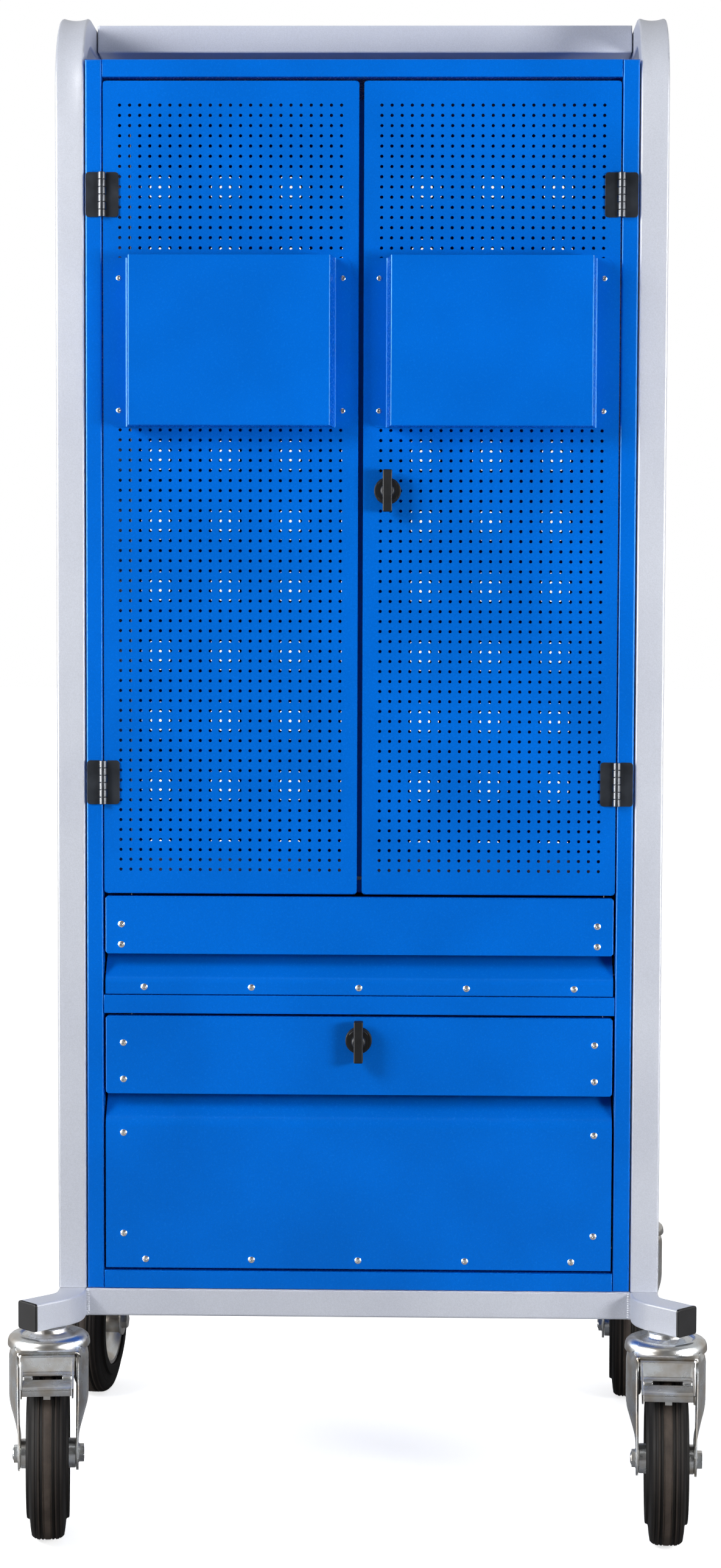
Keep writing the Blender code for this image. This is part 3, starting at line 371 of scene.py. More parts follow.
for side, sign in (("left", -1), ("right", 1)):
    bm = bmesh.new()
    lying = Matrix.Translation((UPRIGHT, 0, BASE)) @ Matrix.Rotation(math.pi / 2, 4, "X")
    end = tube_end(bm, lying)
    bmesh.ops.delete(bm, geom=bm.faces[:], context="FACES_ONLY")
    half = (BACK - FRONT) / 2 + LEG_LEAD
    end = drawn(bm, end, dvec=(0, half, 0))
    end = drawn(bm, end, cent=(UPRIGHT + LEG_RADIUS, half, 0), angle=-SLANT, steps=8)
    end = drawn(bm, end, dvec=(LEG_LENGTH * math.sin(SLANT), LEG_LENGTH * math.cos(SLANT), 0))
    bmesh.ops.mirror(bm, geom=bm.faces[:], merge_dist=NEAR, axis="Y")
    bmesh.ops.translate(bm, vec=(0, MIDDLE, 0), verts=bm.verts)
    bmesh.ops.scale(bm, vec=(sign, 1, 1), verts=bm.verts)
    piece(f"{side}_base_leg_tube", bm, grey, "cabinet", [f"{side}_base_tube"])

for name, y in (("front", FRONT + TUBE / 2), ("rear", BACK - TUBE / 2)):
    bm = bmesh.new()
    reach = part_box("front_base_rail")[1].x
    end = tube_end(bm, Matrix.Translation((-reach, y, BASE)) @ Matrix.Rotation(math.pi / 2, 4, "Y"))
    drawn(bm, end, dvec=(2 * reach, 0, 0))
    piece(f"{name}_cross_tube", bm, grey, "cabinet", [f"{name}_base_rail"])

# %% [markdown]
# The open ends of the legs are closed by pushed-in plastic caps, each with a softly rounded rim.

# %% End caps
CAP, CAP_RIM, CAP_PLAY = 0.0035, 0.0014, 0.0001

for name in ("front_left", "front_right", "rear_left", "rear_right"):
    left, front = "left" in name, "front" in name
    near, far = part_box(f"{'left' if left else 'right'}_base_tube")
    outward = Vector((-1 if left else 1, -1 if front else 1, 0)).normalized()
    corner = Vector((near.x if left else far.x, near.y if front else far.y, BASE))
    bm = bmesh.new()
    end = drawn(bm, tube_end(bm, Matrix.Identity(4)), dvec=(0, 0, CAP))
    bmesh.ops.holes_fill(bm, edges=[e for e in end if isinstance(e, bmesh.types.BMEdge)])
    rounded(bm, edges_where(bm, lambda co: co.z > CAP - NEAR), CAP_RIM)
    mouth = corner + outward * (CAP_PLAY - TUBE / 2)
    bm.transform(Matrix.Translation(mouth) @ outward.to_track_quat("Z", "Y").to_matrix().to_4x4())
    piece(f"cap_on_{name}_leg", bm, plastic, "cabinet", [f"cap_{name}"])

# %% [markdown]
# ## The tray on top
# The tray between the arches is one folded sheet. Its folds have a small radius; the upper edge is
# the bare thickness of the sheet.

# %% Top tray
TRAY_SHEET, TRAY_BEND = 0.0015, 0.0025
LUG, LUG_LONG, LUG_FROM, LUG_TO = 0.0012, 0.03, 0.002, 0.014
low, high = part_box("top_tray")
bm = bmesh.new()
block(bm, (low.x + LUG, low.y, low.z), (high.x - LUG, high.y, high.z))
top = [f for f in bm.faces if f.calc_center_median().z > high.z - NEAR]
bmesh.ops.delete(bm, geom=top, context="FACES_ONLY")
rounded(bm, sharp_edges(bm, 0), TRAY_BEND)
piece("tray_pan", bm, grey, "cabinet", ["top_tray"], wall=TRAY_SHEET)

bm = bmesh.new()
for sign in (-1, 1):
    inner, outer = sorted((sign * (high.x - LUG + 0.0001), sign * high.x))
    for y in (low.y + LUG_LONG, high.y - 2 * LUG_LONG):
        block(bm, (inner, y, low.z + LUG_FROM), (outer, y + LUG_LONG, low.z + LUG_TO))
piece("tray_lugs", bm, grey, "cabinet")

# %% [markdown]
# ## The cabinet's front frame
# Two folded stiles run the whole height. The top, middle and bottom rails are separate pieces
# between them, so a thin dark seam shows at each joint.

# %% Stiles and rails
STILE, STILE_EDGE, RAIL_EDGE = 0.020, 0.0026, 0.0014
SEAM = 0.0005
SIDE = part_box("front_frame")[1].x
BOTTOM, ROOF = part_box("front_frame")[0].z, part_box("front_frame")[1].z
RAILS = {
    "top": (ROOF - 0.0207, ROOF),
    "middle": (0.6129, 0.6353),
    "bottom": (BOTTOM, BOTTOM + 0.0219),
}


def front_edges(bm):
    """The edges round the face that looks forward."""
    return edges_where(bm, lambda co: co.y < FRONT + NEAR)


for side, sign in (("left", -1), ("right", 1)):
    bm = bmesh.new()
    block(bm, (SIDE - STILE, FRONT, BOTTOM), (SIDE, FRONT + STILE, ROOF))
    rounded(bm, front_edges(bm), STILE_EDGE, 5)
    bmesh.ops.scale(bm, vec=(sign, 1, 1), verts=bm.verts)
    stands_for = ["front_frame"] if side == "right" else ()
    piece(f"{side}_stile", bm, blue, "cabinet", stands_for)

reach = SIDE - STILE - SEAM
for name, (low_z, high_z) in RAILS.items():
    bm = bmesh.new()
    block(bm, (-reach, FRONT, low_z), (reach, FRONT + STILE, high_z))
    rounded(bm, front_edges(bm), RAIL_EDGE)
    piece(f"{name}_rail", bm, blue, "cabinet")

# %% [markdown]
# ## Perforated doors
# The doors are punched with 4.1 mm holes on a 12 mm grid, 23 by 77 on each door. One square cell
# with an eight-sided hole is bridged between two circles of edges, then repeated by the spin
# operator with a straight step. A filled margin joins the grid to the door's outline, whose edges
# fold back.

# %% A field of holes
PITCH, HOLE = 0.012, 0.00205


def punched_field(bm, first, columns, rows):
    """Cells of a perforated sheet in the XZ plane, with the first hole's centre at first."""
    upright = Matrix.Translation(first) @ Matrix.Rotation(math.pi / 2, 4, "X")
    square = upright @ Matrix.Rotation(math.pi / 4, 4, "Z")
    hole = upright @ Matrix.Rotation(math.pi / 8, 4, "Z")
    bmesh.ops.create_circle(bm, segments=4, radius=PITCH / math.sqrt(2), matrix=square)
    bmesh.ops.create_circle(bm, segments=8, radius=HOLE, matrix=hole)
    bmesh.ops.bridge_loops(bm, edges=bm.edges[:])
    for step, count in (((PITCH, 0, 0), columns), ((0, 0, PITCH), rows)):
        repeated(bm, bm.faces[:] + bm.edges[:] + bm.verts[:], step, count - 1)
    bmesh.ops.remove_doubles(bm, verts=bm.verts, dist=NEAR)
    rim = [e for e in bm.edges if e.is_boundary and e.calc_length() > PITCH / 2]
    print(columns * rows, "holes,", len(rim), "edges round the field")
    return rim

# %% Folded sheets
WALL = 0.0012
NOTCH = 0.0027


def cut_face(bm, low, high):
    """An upright rectangle that faces -Y, with its corners cut at 45 degrees for the folds."""
    low, high = Vector(low), Vector(high)
    middle = Vector(((low.x + high.x) / 2, low.y, (low.z + high.z) / 2))
    place = Matrix.Translation(middle) @ Matrix.Rotation(math.pi / 2, 4, "X")
    place = place @ Matrix.Diagonal((high.x - low.x, high.z - low.z, 1, 1))
    corners = bmesh.ops.create_grid(bm, x_segments=1, y_segments=1, size=0.5, matrix=place)["verts"]
    rounded(bm, corners, NOTCH, 1, "VERTICES")
    return max(bm.faces, key=lambda face: face.calc_area())


def outermost(edges, axis, sign):
    """The edge of a face that lies furthest along an axis."""
    return max(edges, key=lambda e: sign * (e.verts[0].co[axis] + e.verts[1].co[axis]))


def fold(bm, edge, depth, lip=0, inward=(0, 0, 0)):
    """Folds the sheet back at an edge, then inward as a lip with its ends cut at 45 degrees."""
    end = drawn(bm, [edge], dvec=(0, depth, 0))
    if lip:
        end = drawn(bm, end, dvec=Vector(inward) * lip)
        first, last = [g for g in end if isinstance(g, bmesh.types.BMVert)]
        along = (last.co - first.co).normalized() * lip
        first.co += along
        last.co -= along


def bend_edges(bm, radius, segments=3):
    """Gives every sharp fold of a sheet its bending radius."""
    rounded(bm, [e for e in sharp_edges(bm, 0.6) if e.calc_length() > 0.01], radius, segments)

# %% The margin round a field of holes
def fill_margin(bm, rim, face, band=0.004):
    """Joins a field's rim to the inside of a face by a flat band and a fill of triangles."""
    bmesh.ops.inset_region(bm, faces=[face], thickness=band, use_even_offset=True)
    inner = list(face.edges)
    bmesh.ops.delete(bm, geom=[face], context="FACES_ONLY")
    bmesh.ops.triangle_fill(bm, edges=rim + inner, use_beauty=True, normal=(0, -1, 0))

# %% The doors
DOOR_LOW, DOOR_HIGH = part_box("right_door")
ROW_0, ROWS, COLUMN_0, COLUMNS = 0.7884, 77, 0.024, 23
DOOR_LIP, DOOR_BEND, RIM_RADIUS = 0.012, 0.0018, 0.00025

for side, sign in (("left", -1), ("right", 1)):
    bm = bmesh.new()
    rim = punched_field(bm, (COLUMN_0, DOOR_LOW.y, ROW_0), COLUMNS, ROWS)
    face = cut_face(bm, DOOR_LOW, DOOR_HIGH)
    outline = list(face.edges)
    fill_margin(bm, rim, face)
    for axis, end in ((0, -1), (0, 1), (2, -1), (2, 1)):
        inward = [0, 0, 0]
        inward[axis] = -end
        fold(bm, outermost(outline, axis, end), DOOR_HIGH.y - DOOR_LOW.y, DOOR_LIP, inward)
    bend_edges(bm, DOOR_BEND, 4)
    bmesh.ops.scale(bm, vec=(sign, 1, 1), verts=bm.verts)
    name, body = f"{side}_punched_door", f"{side}_door"
    door = piece(name, bm, blue, body, [f"{side}_door"], wall=WALL)
    rims = door.modifiers.new("paint_rounds_the_rims", "BEVEL")
    rims.width, rims.segments, rims.angle_limit = RIM_RADIUS, 1, math.radians(60)
    door.modifiers.move(1, 0)

# %% [markdown]
# Nothing bright is seen through the slit between the doors. A cover strip behind the left door's
# free edge closes it, as on most two-door cabinets, and so the right door, with the knob, opens
# first.

# %% Cover strip
STRIP_LEFT, STRIP_RIGHT, STRIP_SHORT, STRIP_GAP = -0.018, 0.0085, 0.02, 0.0002
low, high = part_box("left_door")
near = Vector((STRIP_LEFT, high.y + STRIP_GAP, low.z + STRIP_SHORT))
far = Vector((STRIP_RIGHT, high.y + STRIP_GAP + WALL, high.z - STRIP_SHORT))
bm = bmesh.new()
block(bm, near, far)
rounded(bm, [e for e in bm.edges if abs(e.verts[0].co.y - e.verts[1].co.y) > WALL / 2], 0.003)
piece("left_door_cover_strip", bm, blue, "left_door")

# %% [markdown]
# ## The punched back panel
# Light comes in through the same holes in the cabinet's back. Where a hole of the door and a hole
# of the back lie on one line of sight, the white behind the cart shines through as a dot.

# %% Back panel
BACK_COLUMN_0, BACK_COLUMNS, BACK_ROWS = -0.312, 53, 80
low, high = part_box("back_panel")
bm = bmesh.new()
rim = punched_field(bm, (BACK_COLUMN_0, low.y, ROW_0 - PITCH), BACK_COLUMNS, BACK_ROWS)
fill_margin(bm, rim, cut_face(bm, low, high))
piece("punched_back", bm, blue, "cabinet", ["back_panel"], wall=WALL)

# %% [markdown]
# ## Document pockets
# A pocket is one folded sheet: a flange on the door, a short slanted side, the wide front, and the
# same again, with its bottom folded in. It hangs on four blind rivets.

# %% Pockets
POCKET_LOW, POCKET_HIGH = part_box("right_pocket")
FLANGE, SLOPE, CHAMFER, POCKET_BEND = 0.0196, 0.004, 0.006, 0.0022


def at_pocket_ends(v):
    """Whether a vertex lies on one of the pocket's two upright outer edges."""
    return min(abs(v.co.x - POCKET_LOW.x), abs(v.co.x - POCKET_HIGH.x)) < NEAR


for side, sign in (("left", -1), ("right", 1)):
    low, high = POCKET_LOW, POCKET_HIGH
    bm = bmesh.new()
    end = line_of(bm, [(low.x, high.y, low.z), (low.x, high.y, high.z)])
    front, depth = high.x - low.x - 2 * (FLANGE + SLOPE), high.y - low.y - WALL
    for x, y in ((FLANGE, 0), (SLOPE, -depth), (front, 0), (SLOPE, depth), (FLANGE, 0)):
        end = drawn(bm, end, dvec=(x, y, 0))
    bottom = [e for e in edges_where(bm, lambda co: co.z < low.z + NEAR) if e.is_boundary]
    box = [e for e in bottom if not any(at_pocket_ends(v) for v in e.verts)]
    rounded(bm, [v for v in bm.verts if at_pocket_ends(v)], CHAMFER, 1, "VERTICES")
    bmesh.ops.contextual_create(bm, geom=box)
    folds = [
        e for e in sharp_edges(bm, 1)
        if all(v.co.y < high.y - NEAR for v in e.verts)
        or abs(e.verts[0].co.x - e.verts[1].co.x) < NEAR
    ]
    rounded(bm, folds, POCKET_BEND, 4)
    bmesh.ops.scale(bm, vec=(sign, 1, 1), verts=bm.verts)
    bmesh.ops.translate(bm, vec=(0, -WALL, 0), verts=bm.verts)
    name, body = f"{side}_document_pocket", f"{side}_door"
    piece(name, bm, blue, body, [f"{side}_pocket"], wall=WALL)

# %% [markdown]
# ## Drawer fronts
# A drawer's front is two sheets. The upper one is folded back at its top and sides. The lower one
# starts as a lip at the bottom, slopes back under the upper one and so leaves a grip for the
# fingers. Its lower bend has a large radius, which shows as a soft light band.

# %% Upper panels and lips
GRIP, TOP_RETURN, SHEET_BEND = 0.031, 0.012, 0.0014

for name, lip_name, lip, bend in (
    ("upper_drawer", "upper_drawer_lip", 0.0184, 0.005),
    ("lower_drawer", "lower_drawer_front", 0.1813, 0.008),
):
    low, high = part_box(f"{name}_panel")
    bm = bmesh.new()
    outline = list(cut_face(bm, low, high).edges)
    fold(bm, outermost(outline, 2, 1), TOP_RETURN)
    for end in (-1, 1):
        fold(bm, outermost(outline, 0, end), GRIP - WALL / 2)
    bend_edges(bm, SHEET_BEND)
    panel = f"{name}_folded_panel"
    piece(panel, bm, blue, name, [f"{name}_panel"], wall=WALL)

    panel_foot = low.z
    low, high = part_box(lip_name)
    bm = bmesh.new()
    end = line_of(bm, [(x, low.y + GRIP, low.z) for x in (low.x, high.x)])
    slope = panel_foot - low.z - lip
    for y, z in ((-GRIP, 0), (0, lip), (GRIP, slope), (0, high.z - panel_foot)):
        end = drawn(bm, end, dvec=(0, y, z))
    raised = edges_where(bm, lambda co: co.y < low.y + NEAR and co.z > low.z + NEAR)
    rounded(bm, [e for e in raised if e.calc_length() > 0.3], bend, 6)
    bend_edges(bm, SHEET_BEND)
    piece(f"{name}_sloped_front", bm, blue, name, [lip_name], wall=WALL)

# %% [markdown]
# ## Blind rivets
# A blind rivet shows a round flange, a raised ring and the dark pit of its broken mandrel. Half its
# outline, a few points from the rim to the middle, is spun once round, and each set of rivets is
# one piece that rides with the sheet it holds.

# %% Rivets
RIVET_HALF = [
    (1, 0), (1, 0.12), (0.92, 0.22), (0.66, 0.28), (0.6, 0.42),
    (0.45, 0.46), (0.3, 0.4), (0.26, 0.16), (0, 0.12),
]


def rivet(bm, x, y, z, across):
    """A rivet's head on a face that looks to -Y."""
    size = across / 2
    line = line_of(bm, [(x + r * size, y - h * size, z) for r, h in RIVET_HALF])
    spun(bm, line, 16, (x, y, z), (0, 1, 0))


bright = simple_grain("bright aluminium", "E4E5E6", "D4D5D8", 0.22, 0.8, 0.02, Metallic=1.0)
on_pocket = [(x, z) for x in (0.2892, 0.0218) for z in (1.4965, 1.3395)]
on_upper = [(x, z) for x in (-0.2875, 0.2875) for z in (0.7217, 0.697)]
on_upper += [(x, 0.6454) for x in (-0.26, -0.13, 0, 0.13, 0.26)]
on_lower = [(x, z) for x in (-0.2853, 0.2853) for z in (0.5771, 0.5326, 0.4669, 0.3433)]
on_lower += [(x, 0.3115) for x in (-0.2586, -0.1297, 0, 0.1297, 0.2586)]
flange = POCKET_HIGH.y - WALL
SMALL, LARGE = 0.0064, 0.0082

for name, body, sign, y, across, places in (
    ("left_pocket_rivets", "left_door", -1, flange, SMALL, on_pocket),
    ("right_pocket_rivets", "right_door", 1, flange, SMALL, on_pocket),
    ("upper_drawer_rivets", "upper_drawer", 1, FRONT, LARGE, on_upper),
    ("lower_drawer_rivets", "lower_drawer", 1, FRONT, LARGE, on_lower),
):
    bm = bmesh.new()
    for x, z in places:
        rivet(bm, sign * x, y, z, across)
    piece(name, bm, bright, body, sharp=50)

# %% [markdown]
# ## Casters
# A caster is pressed from zinc-plated sheet: a domed ring with its ball race, a fork with bulging
# cheeks, and a wheel with a solid tyre. Each part is modelled once, standing on the floor with the
# swivel's axis as Z and the wheel towards -Y, then set in its place with the heading at which it
# came to rest.

# %% Where the casters stand
HEADING = {"front_left": 6, "front_right": -3, "rear_left": -7, "rear_right": -4}
SWIVEL_X, SWIVEL_Y = 0.370555, 0.326951
TRAIL, WHEEL = 0.050, 0.100
ACROSS = Matrix.Rotation(math.pi / 2, 4, "Y")
AXLE = Matrix.Translation((0, -TRAIL, WHEEL)) @ ACROSS


def caster_place(name):
    """Turns and moves a part of a caster from its own frame to its place under the cart."""
    x = SWIVEL_X * (-1 if "left" in name else 1)
    y = MIDDLE + SWIVEL_Y * (-1 if "front" in name else 1)
    return Matrix.Translation((x, y, 0)) @ Matrix.Rotation(math.radians(HEADING[name]), 4, "Z")


def turned(bm, profile, steps):
    """Spins a line of (radius, height) points once round the Z axis."""
    spun(bm, line_of(bm, [(radius, 0, height) for radius, height in profile]), steps)


def pressed(name, bm, body, thickness, stands_for=()):
    """A zinc-plated pressing: the bmesh is its outside, and a Solidify modifier adds the sheet."""
    made = piece(name, bm, zinc, body, stands_for, sharp=30)
    highest = max(made.data.polygons, key=lambda face: face.center.z)
    if highest.normal.z < 0:
        made.data.flip_normals()
    made.modifiers.new("sheet", "SOLIDIFY").thickness = thickness
    made.modifiers.move(1, 0)

# %% Swivel ring
RING_HALF = [
    (0, 0.2407), (0.0205, 0.2407), (0.0215, 0.2398), (0.022, 0.2365), (0.0235, 0.2345),
    (0.0262, 0.2338), (0.0285, 0.2325), (0.0305, 0.2318), (0.0325, 0.2322), (0.0345, 0.2336),
    (0.0375, 0.2342), (0.0415, 0.2337), (0.045, 0.2322), (0.0476, 0.2298), (0.0488, 0.2268),
    (0.0493, 0.2235), (0.0494, 0.2205), (0.0487, 0.2192), (0.0478, 0.2192), (0.0472, 0.2205),
    (0.0468, 0.2232), (0.035, 0.2238), (0.034, 0.2195), (0.0325, 0.2190), (0.014, 0.2190),
    (0.012, 0.2175), (0.012, 0.2105), (0.0105, 0.2095), (0, 0.2095),
]

for name in HEADING:
    bm = bmesh.new()
    turned(bm, RING_HALF, 64)
    bm.transform(caster_place(name))
    piece(f"swivel_ring_{name}", bm, zinc, f"swivel_{name}", sharp=50)

# %% Fork
FORK_HALF, CHEEK_HALF, FORK_SHEET = 0.0358, 0.0475, 0.003
CROWN, FORK_REAR, FORK_FOOT, EYE = 0.225, 0.038, 0.201, 0.020
BULGE_AT, BULGE_REACH, CROWN_BEND, CHEEK_BEND = 0.008, 0.056, 0.007, 0.008
FORK_OUTLINE = [
    (-FORK_HALF, WHEEL - 0.024), (-FORK_HALF, WHEEL + 0.018), (-CHEEK_HALF, WHEEL + 0.055),
    (-CHEEK_HALF, CROWN - 0.009), (-CHEEK_HALF + 0.009, CROWN),
]
FORK_OUTLINE += [(-x, z) for x, z in reversed(FORK_OUTLINE)]


def fork_width(forward):
    """How far the cheeks bulge outward, from the middle of the pressing to its edges."""
    share = max(0, 1 - ((forward - BULGE_AT) / BULGE_REACH) ** 2)
    return FORK_HALF + (CHEEK_HALF - FORK_HALF) * share


def bulge_cheeks(bm):
    """Pulls the cheeks in towards the pressing's front and rear edges."""
    for v in bm.verts:
        beyond = abs(v.co.x) - FORK_HALF
        if abs(v.co.x) > 0.03:
            share = min(1, max(0, beyond / (CHEEK_HALF - FORK_HALF)))
            wide = FORK_HALF + (fork_width(-v.co.y) - FORK_HALF) * share + min(0, beyond)
            v.co.x = math.copysign(wide, v.co.x)


def fork_cuts():
    """The planes, each a place and a normal, that give the fork its outline from the side."""
    axle = Vector((0, -TRAIL, WHEEL))
    cuts = [((0, FORK_REAR, 0), (0, 1, 0)), ((0, -0.064, FORK_FOOT), (0, -101, 6))]
    for turn in range(-48, 73, 20):
        direction = Vector((0, -math.sin(math.radians(turn)), -math.cos(math.radians(turn))))
        cuts.append((axle + direction * EYE, direction))
    away = Vector((0, FORK_REAR, FORK_FOOT)) - axle
    slope = math.atan2(away.z, away.y) - math.acos(EYE / away.length)
    normal = Vector((0, math.cos(slope), math.sin(slope)))
    return cuts + [(axle + normal * EYE, normal)]


for name in HEADING:
    bm = bmesh.new()
    drawn(bm, line_of(bm, [(x, 0.042, z) for x, z in FORK_OUTLINE]), dvec=(0, -0.0095, 0), steps=12)
    rounded(bm, sharp_edges(bm, 0.5), CROWN_BEND)
    soft = [e for e in sharp_edges(bm, 0.2) if WHEEL < e.verts[0].co.z < WHEEL + 0.06]
    rounded(bm, soft, CHEEK_BEND)
    bulge_cheeks(bm)
    for place, normal in fork_cuts():
        cut = {"plane_co": place, "plane_no": normal, "clear_outer": True}
        bmesh.ops.bisect_plane(bm, geom=bm.verts[:] + bm.edges[:] + bm.faces[:], **cut)
    bm.transform(caster_place(name))
    bmesh.ops.remove_doubles(bm, verts=bm.verts, dist=0.0003)
    pressed(f"pressed_fork_{name}", bm, f"swivel_{name}", FORK_SHEET, [f"fork_{name}"])

# %% [markdown]
# ## Wheels
# The rim is a deep-drawn disc with a hub tube. The solid tyre is wider at its seat than at its
# tread, and fine grooves run round it. Dust has settled along the middle of the tread, and shade is
# painted dark into the grooves, so the tyre keeps, for each of its points, the distance from its
# middle, and its material reads that attribute. Half an outline is turned, then mirrored.

# %% Rims
RIM_HALF = [
    (0.0066, 0.0325), (0.0168, 0.0325), (0.0175, 0.0318), (0.0175, 0.0075), (0.0195, 0.005),
    (0.024, 0.0045), (0.036, 0.006), (0.046, 0.0092), (0.0515, 0.0135), (0.0545, 0.0185),
    (0.0562, 0.0215), (0.0605, 0.0222), (0.0614, 0.0214), (0.0614, 0.0),
]


def wheel_part(half, steps):
    """Turns half of a wheel's outline and mirrors it into a whole."""
    bm = bmesh.new()
    turned(bm, half, steps)
    everything = bm.verts[:] + bm.edges[:] + bm.faces[:]
    bmesh.ops.mirror(bm, geom=everything, merge_dist=1e-5, axis="Z")
    return bm


for name in HEADING:
    bm = wheel_part(RIM_HALF, 48)
    bm.transform(caster_place(name) @ AXLE)
    rim, body = f"dished_rim_{name}", f"wheel_{name}"
    piece(rim, bm, zinc, body, [f"rim_{name}"], sharp=50)

# %% Rubber with dust in its tread and painted shade in its grooves
# Colours by distance from the tread's middle: dust near the middle, painted shade dark in the
# grooves with lighter ridges between them, and darker towards the sides.
TREAD_DUST_AND_GROOVE_SHADE = [
    (0, "4A413B"), (0.19, "453D37"), (0.23, "0F0D0C"), (0.36, "191614"), (0.40, "3A332E"),
    (0.46, "1A1614"), (0.60, "151211"), (0.63, "2A2521"), (0.68, "151211"), (1, "110F0E"),
]
tread_rubber, shader = new_material("dusty rubber with painted groove shade", IOR=1.52, Specular_IOR_Level=0.08)
place = add(tread_rubber, "TexCoord", {}).outputs["Object"]
across = add(tread_rubber, "Attribute", {}, attribute_name="across").outputs["Fac"]
dust_and_groove_shade = add(tread_rubber, "ValToRGB", {"Fac": across})
ramp = dust_and_groove_shade.color_ramp.elements
for at, colour in TREAD_DUST_AND_GROOVE_SHADE[2:]:
    ramp.new(at)
for element, (at, colour) in zip(ramp, TREAD_DUST_AND_GROOVE_SHADE):
    element.position = at
    element.color = srgb(colour)
cloud = add(tread_rubber, "TexNoise", {
    "Vector": place, "Scale": per_mm(30), "Detail": 5, "Roughness": 0.65,
})
grit = add(tread_rubber, "TexNoise", {"Vector": place, "Scale": per_mm(1.6), "Detail": 3})
patch = add(tread_rubber, "MapRange", {
    "Value": cloud.outputs["Fac"],
    "From Min": 0.35, "From Max": 0.7, "To Min": 0.75, "To Max": 1.3,
})
# Dust patches over the tread colours, which hold both dust and the painted shade in the grooves.
dusty = add(tread_rubber, "HueSaturation", {
    "Color": dust_and_groove_shade.outputs["Color"], "Value": patch.outputs["Result"],
})
gloss = add(tread_rubber, "MapRange", {
    "Value": cloud.outputs["Fac"], "To Min": 0.5, "To Max": 0.85,
})
bump = add(tread_rubber, "Bump", {
    "Height": grit.outputs["Fac"], "Strength": 0.4, "Distance": 0.0002,
})
wire(
    tread_rubber, shader, Base_Color=dusty.outputs["Color"],
    Roughness=gloss.outputs["Result"], Normal=bump.outputs["Normal"],
)

# %% Tyres
TYRE_HALF = [
    (0.0618, 0.0215), (0.0618, 0.0242), (0.0626, 0.025), (0.0742, 0.025), (0.0752, 0.0243),
    (0.0758, 0.0222), (0.077, 0.0214), (0.0855, 0.0204), (0.0862, 0.0197), (0.087, 0.0203),
    (0.095, 0.0190), (0.0968, 0.0172), (0.0985, 0.0148), (0.0982, 0.0136), (0.0994, 0.0124),
    (0.09985, 0.0095), (0.0988, 0.0086), (0.0990, 0.0077), (0.0999, 0.0068), (0.1, 0.0052),
    (0.0991, 0.0045), (0.0992, 0.0037), (0.1, 0.0028), (0.1, 0),
]
TYRE_WIDE = max(height for _, height in TYRE_HALF)

for name in HEADING:
    bm = wheel_part(TYRE_HALF, 72)
    layer = bm.verts.layers.float.new("across")
    for v in bm.verts:
        v[layer] = abs(v.co.z) / TYRE_WIDE
    bm.transform(caster_place(name) @ AXLE)
    tyre, body = f"grooved_tyre_{name}", f"wheel_{name}"
    piece(tyre, bm, tread_rubber, body, [f"tyre_{name}"], sharp=50)

# %% [markdown]
# ## Axle bolts
# An M12 bolt holds each wheel: its hexagonal head on one side, a nut with a nylon ring on the
# other. The corners of a real hexagon are chamfered round, which a bevel of the end faces' corners
# gives.

# %% Axles
def prism(bm, sides, radius, low, high):
    """A closed prism along Z. Returns its vertices."""
    middle = Matrix.Translation((0, 0, (low + high) / 2))
    size = {"radius1": radius, "radius2": radius, "depth": abs(high - low)}
    made = bmesh.ops.create_cone(bm, cap_ends=True, segments=sides, matrix=middle, **size)
    return made["verts"]


def hexagon(bm, low, high, across=0.019):
    """A hexagonal prism along Z with its outer corners chamfered."""
    made = prism(bm, 6, across / math.sqrt(3), low, high)
    far = max(low, high, key=abs)
    rounded(bm, [v for v in made if abs(v.co.z - far) < NEAR], 0.0014, 2, "VERTICES")


def stud(bm, radius, low, high, steps=24):
    """A round bar along Z with its ends' rims rounded."""
    edges = {e for v in prism(bm, steps, radius, low, high) for e in v.link_edges}
    ends = [e for e in edges if abs(e.verts[0].co.z - e.verts[1].co.z) < NEAR]
    rounded(bm, ends, 0.0006, 2)


for name in HEADING:
    bm = bmesh.new()
    stud(bm, 0.006, -0.0424, 0.0362)
    hexagon(bm, -0.0362, -0.0408)
    stud(bm, 0.0078, -0.0405, -0.0417)
    hexagon(bm, 0.0362, 0.0424)
    stud(bm, 0.0068, 0.042, 0.0426)
    for side in (-1, 1):
        stud(bm, 0.0115, side * 0.0359, side * 0.0364)
    bm.transform(caster_place(name) @ AXLE)
    bolt, body = f"axle_bolt_{name}", f"swivel_{name}"
    piece(bolt, bm, zinc, body, [f"axle_{name}"], sharp=25)

# %% [markdown]
# ## Brake pedals
# Each front caster has a pedal: a plate that curves down from the fork's crown, two rolled curls
# with a window between them, and a foot plate whose front edge turns down over the tyre.

# %% Pedals
SHIELD = [(0.0595, 0.2230), (0.066, 0.2205), (0.079, 0.2050), (0.084, 0.2030)]
PLATE = [(0.0955, 0.2005), (0.123, 0.1990), (0.1268, 0.1965), (0.1262, 0.1890)]
EAR = [
    (0.0545, 0.2105), (0.0545, 0.2185), (0.060, 0.2212), (0.066, 0.2195), (0.080, 0.2030),
    (0.1275, 0.1975), (0.1275, 0.1865), (0.121, 0.1860), (0.118, 0.1925), (0.084, 0.1965),
    (0.068, 0.2070),
]
PEDAL_SHEET, EAR_X, CURL_X, CURL_HALF = 0.002, 0.0288, 0.0225, 0.005


def bent_strip(bm, line, half, radius):
    """A strip across the caster, bent along (forward, height) points."""
    end = line_of(bm, [(x, -line[0][0], line[0][1]) for x in (-half, half)])
    for (y0, z0), (y1, z1) in zip(line, line[1:]):
        end = drawn(bm, end, dvec=(0, y0 - y1, z1 - z0))
    rounded(bm, [e for e in bm.edges if len(e.link_faces) == 2], radius)


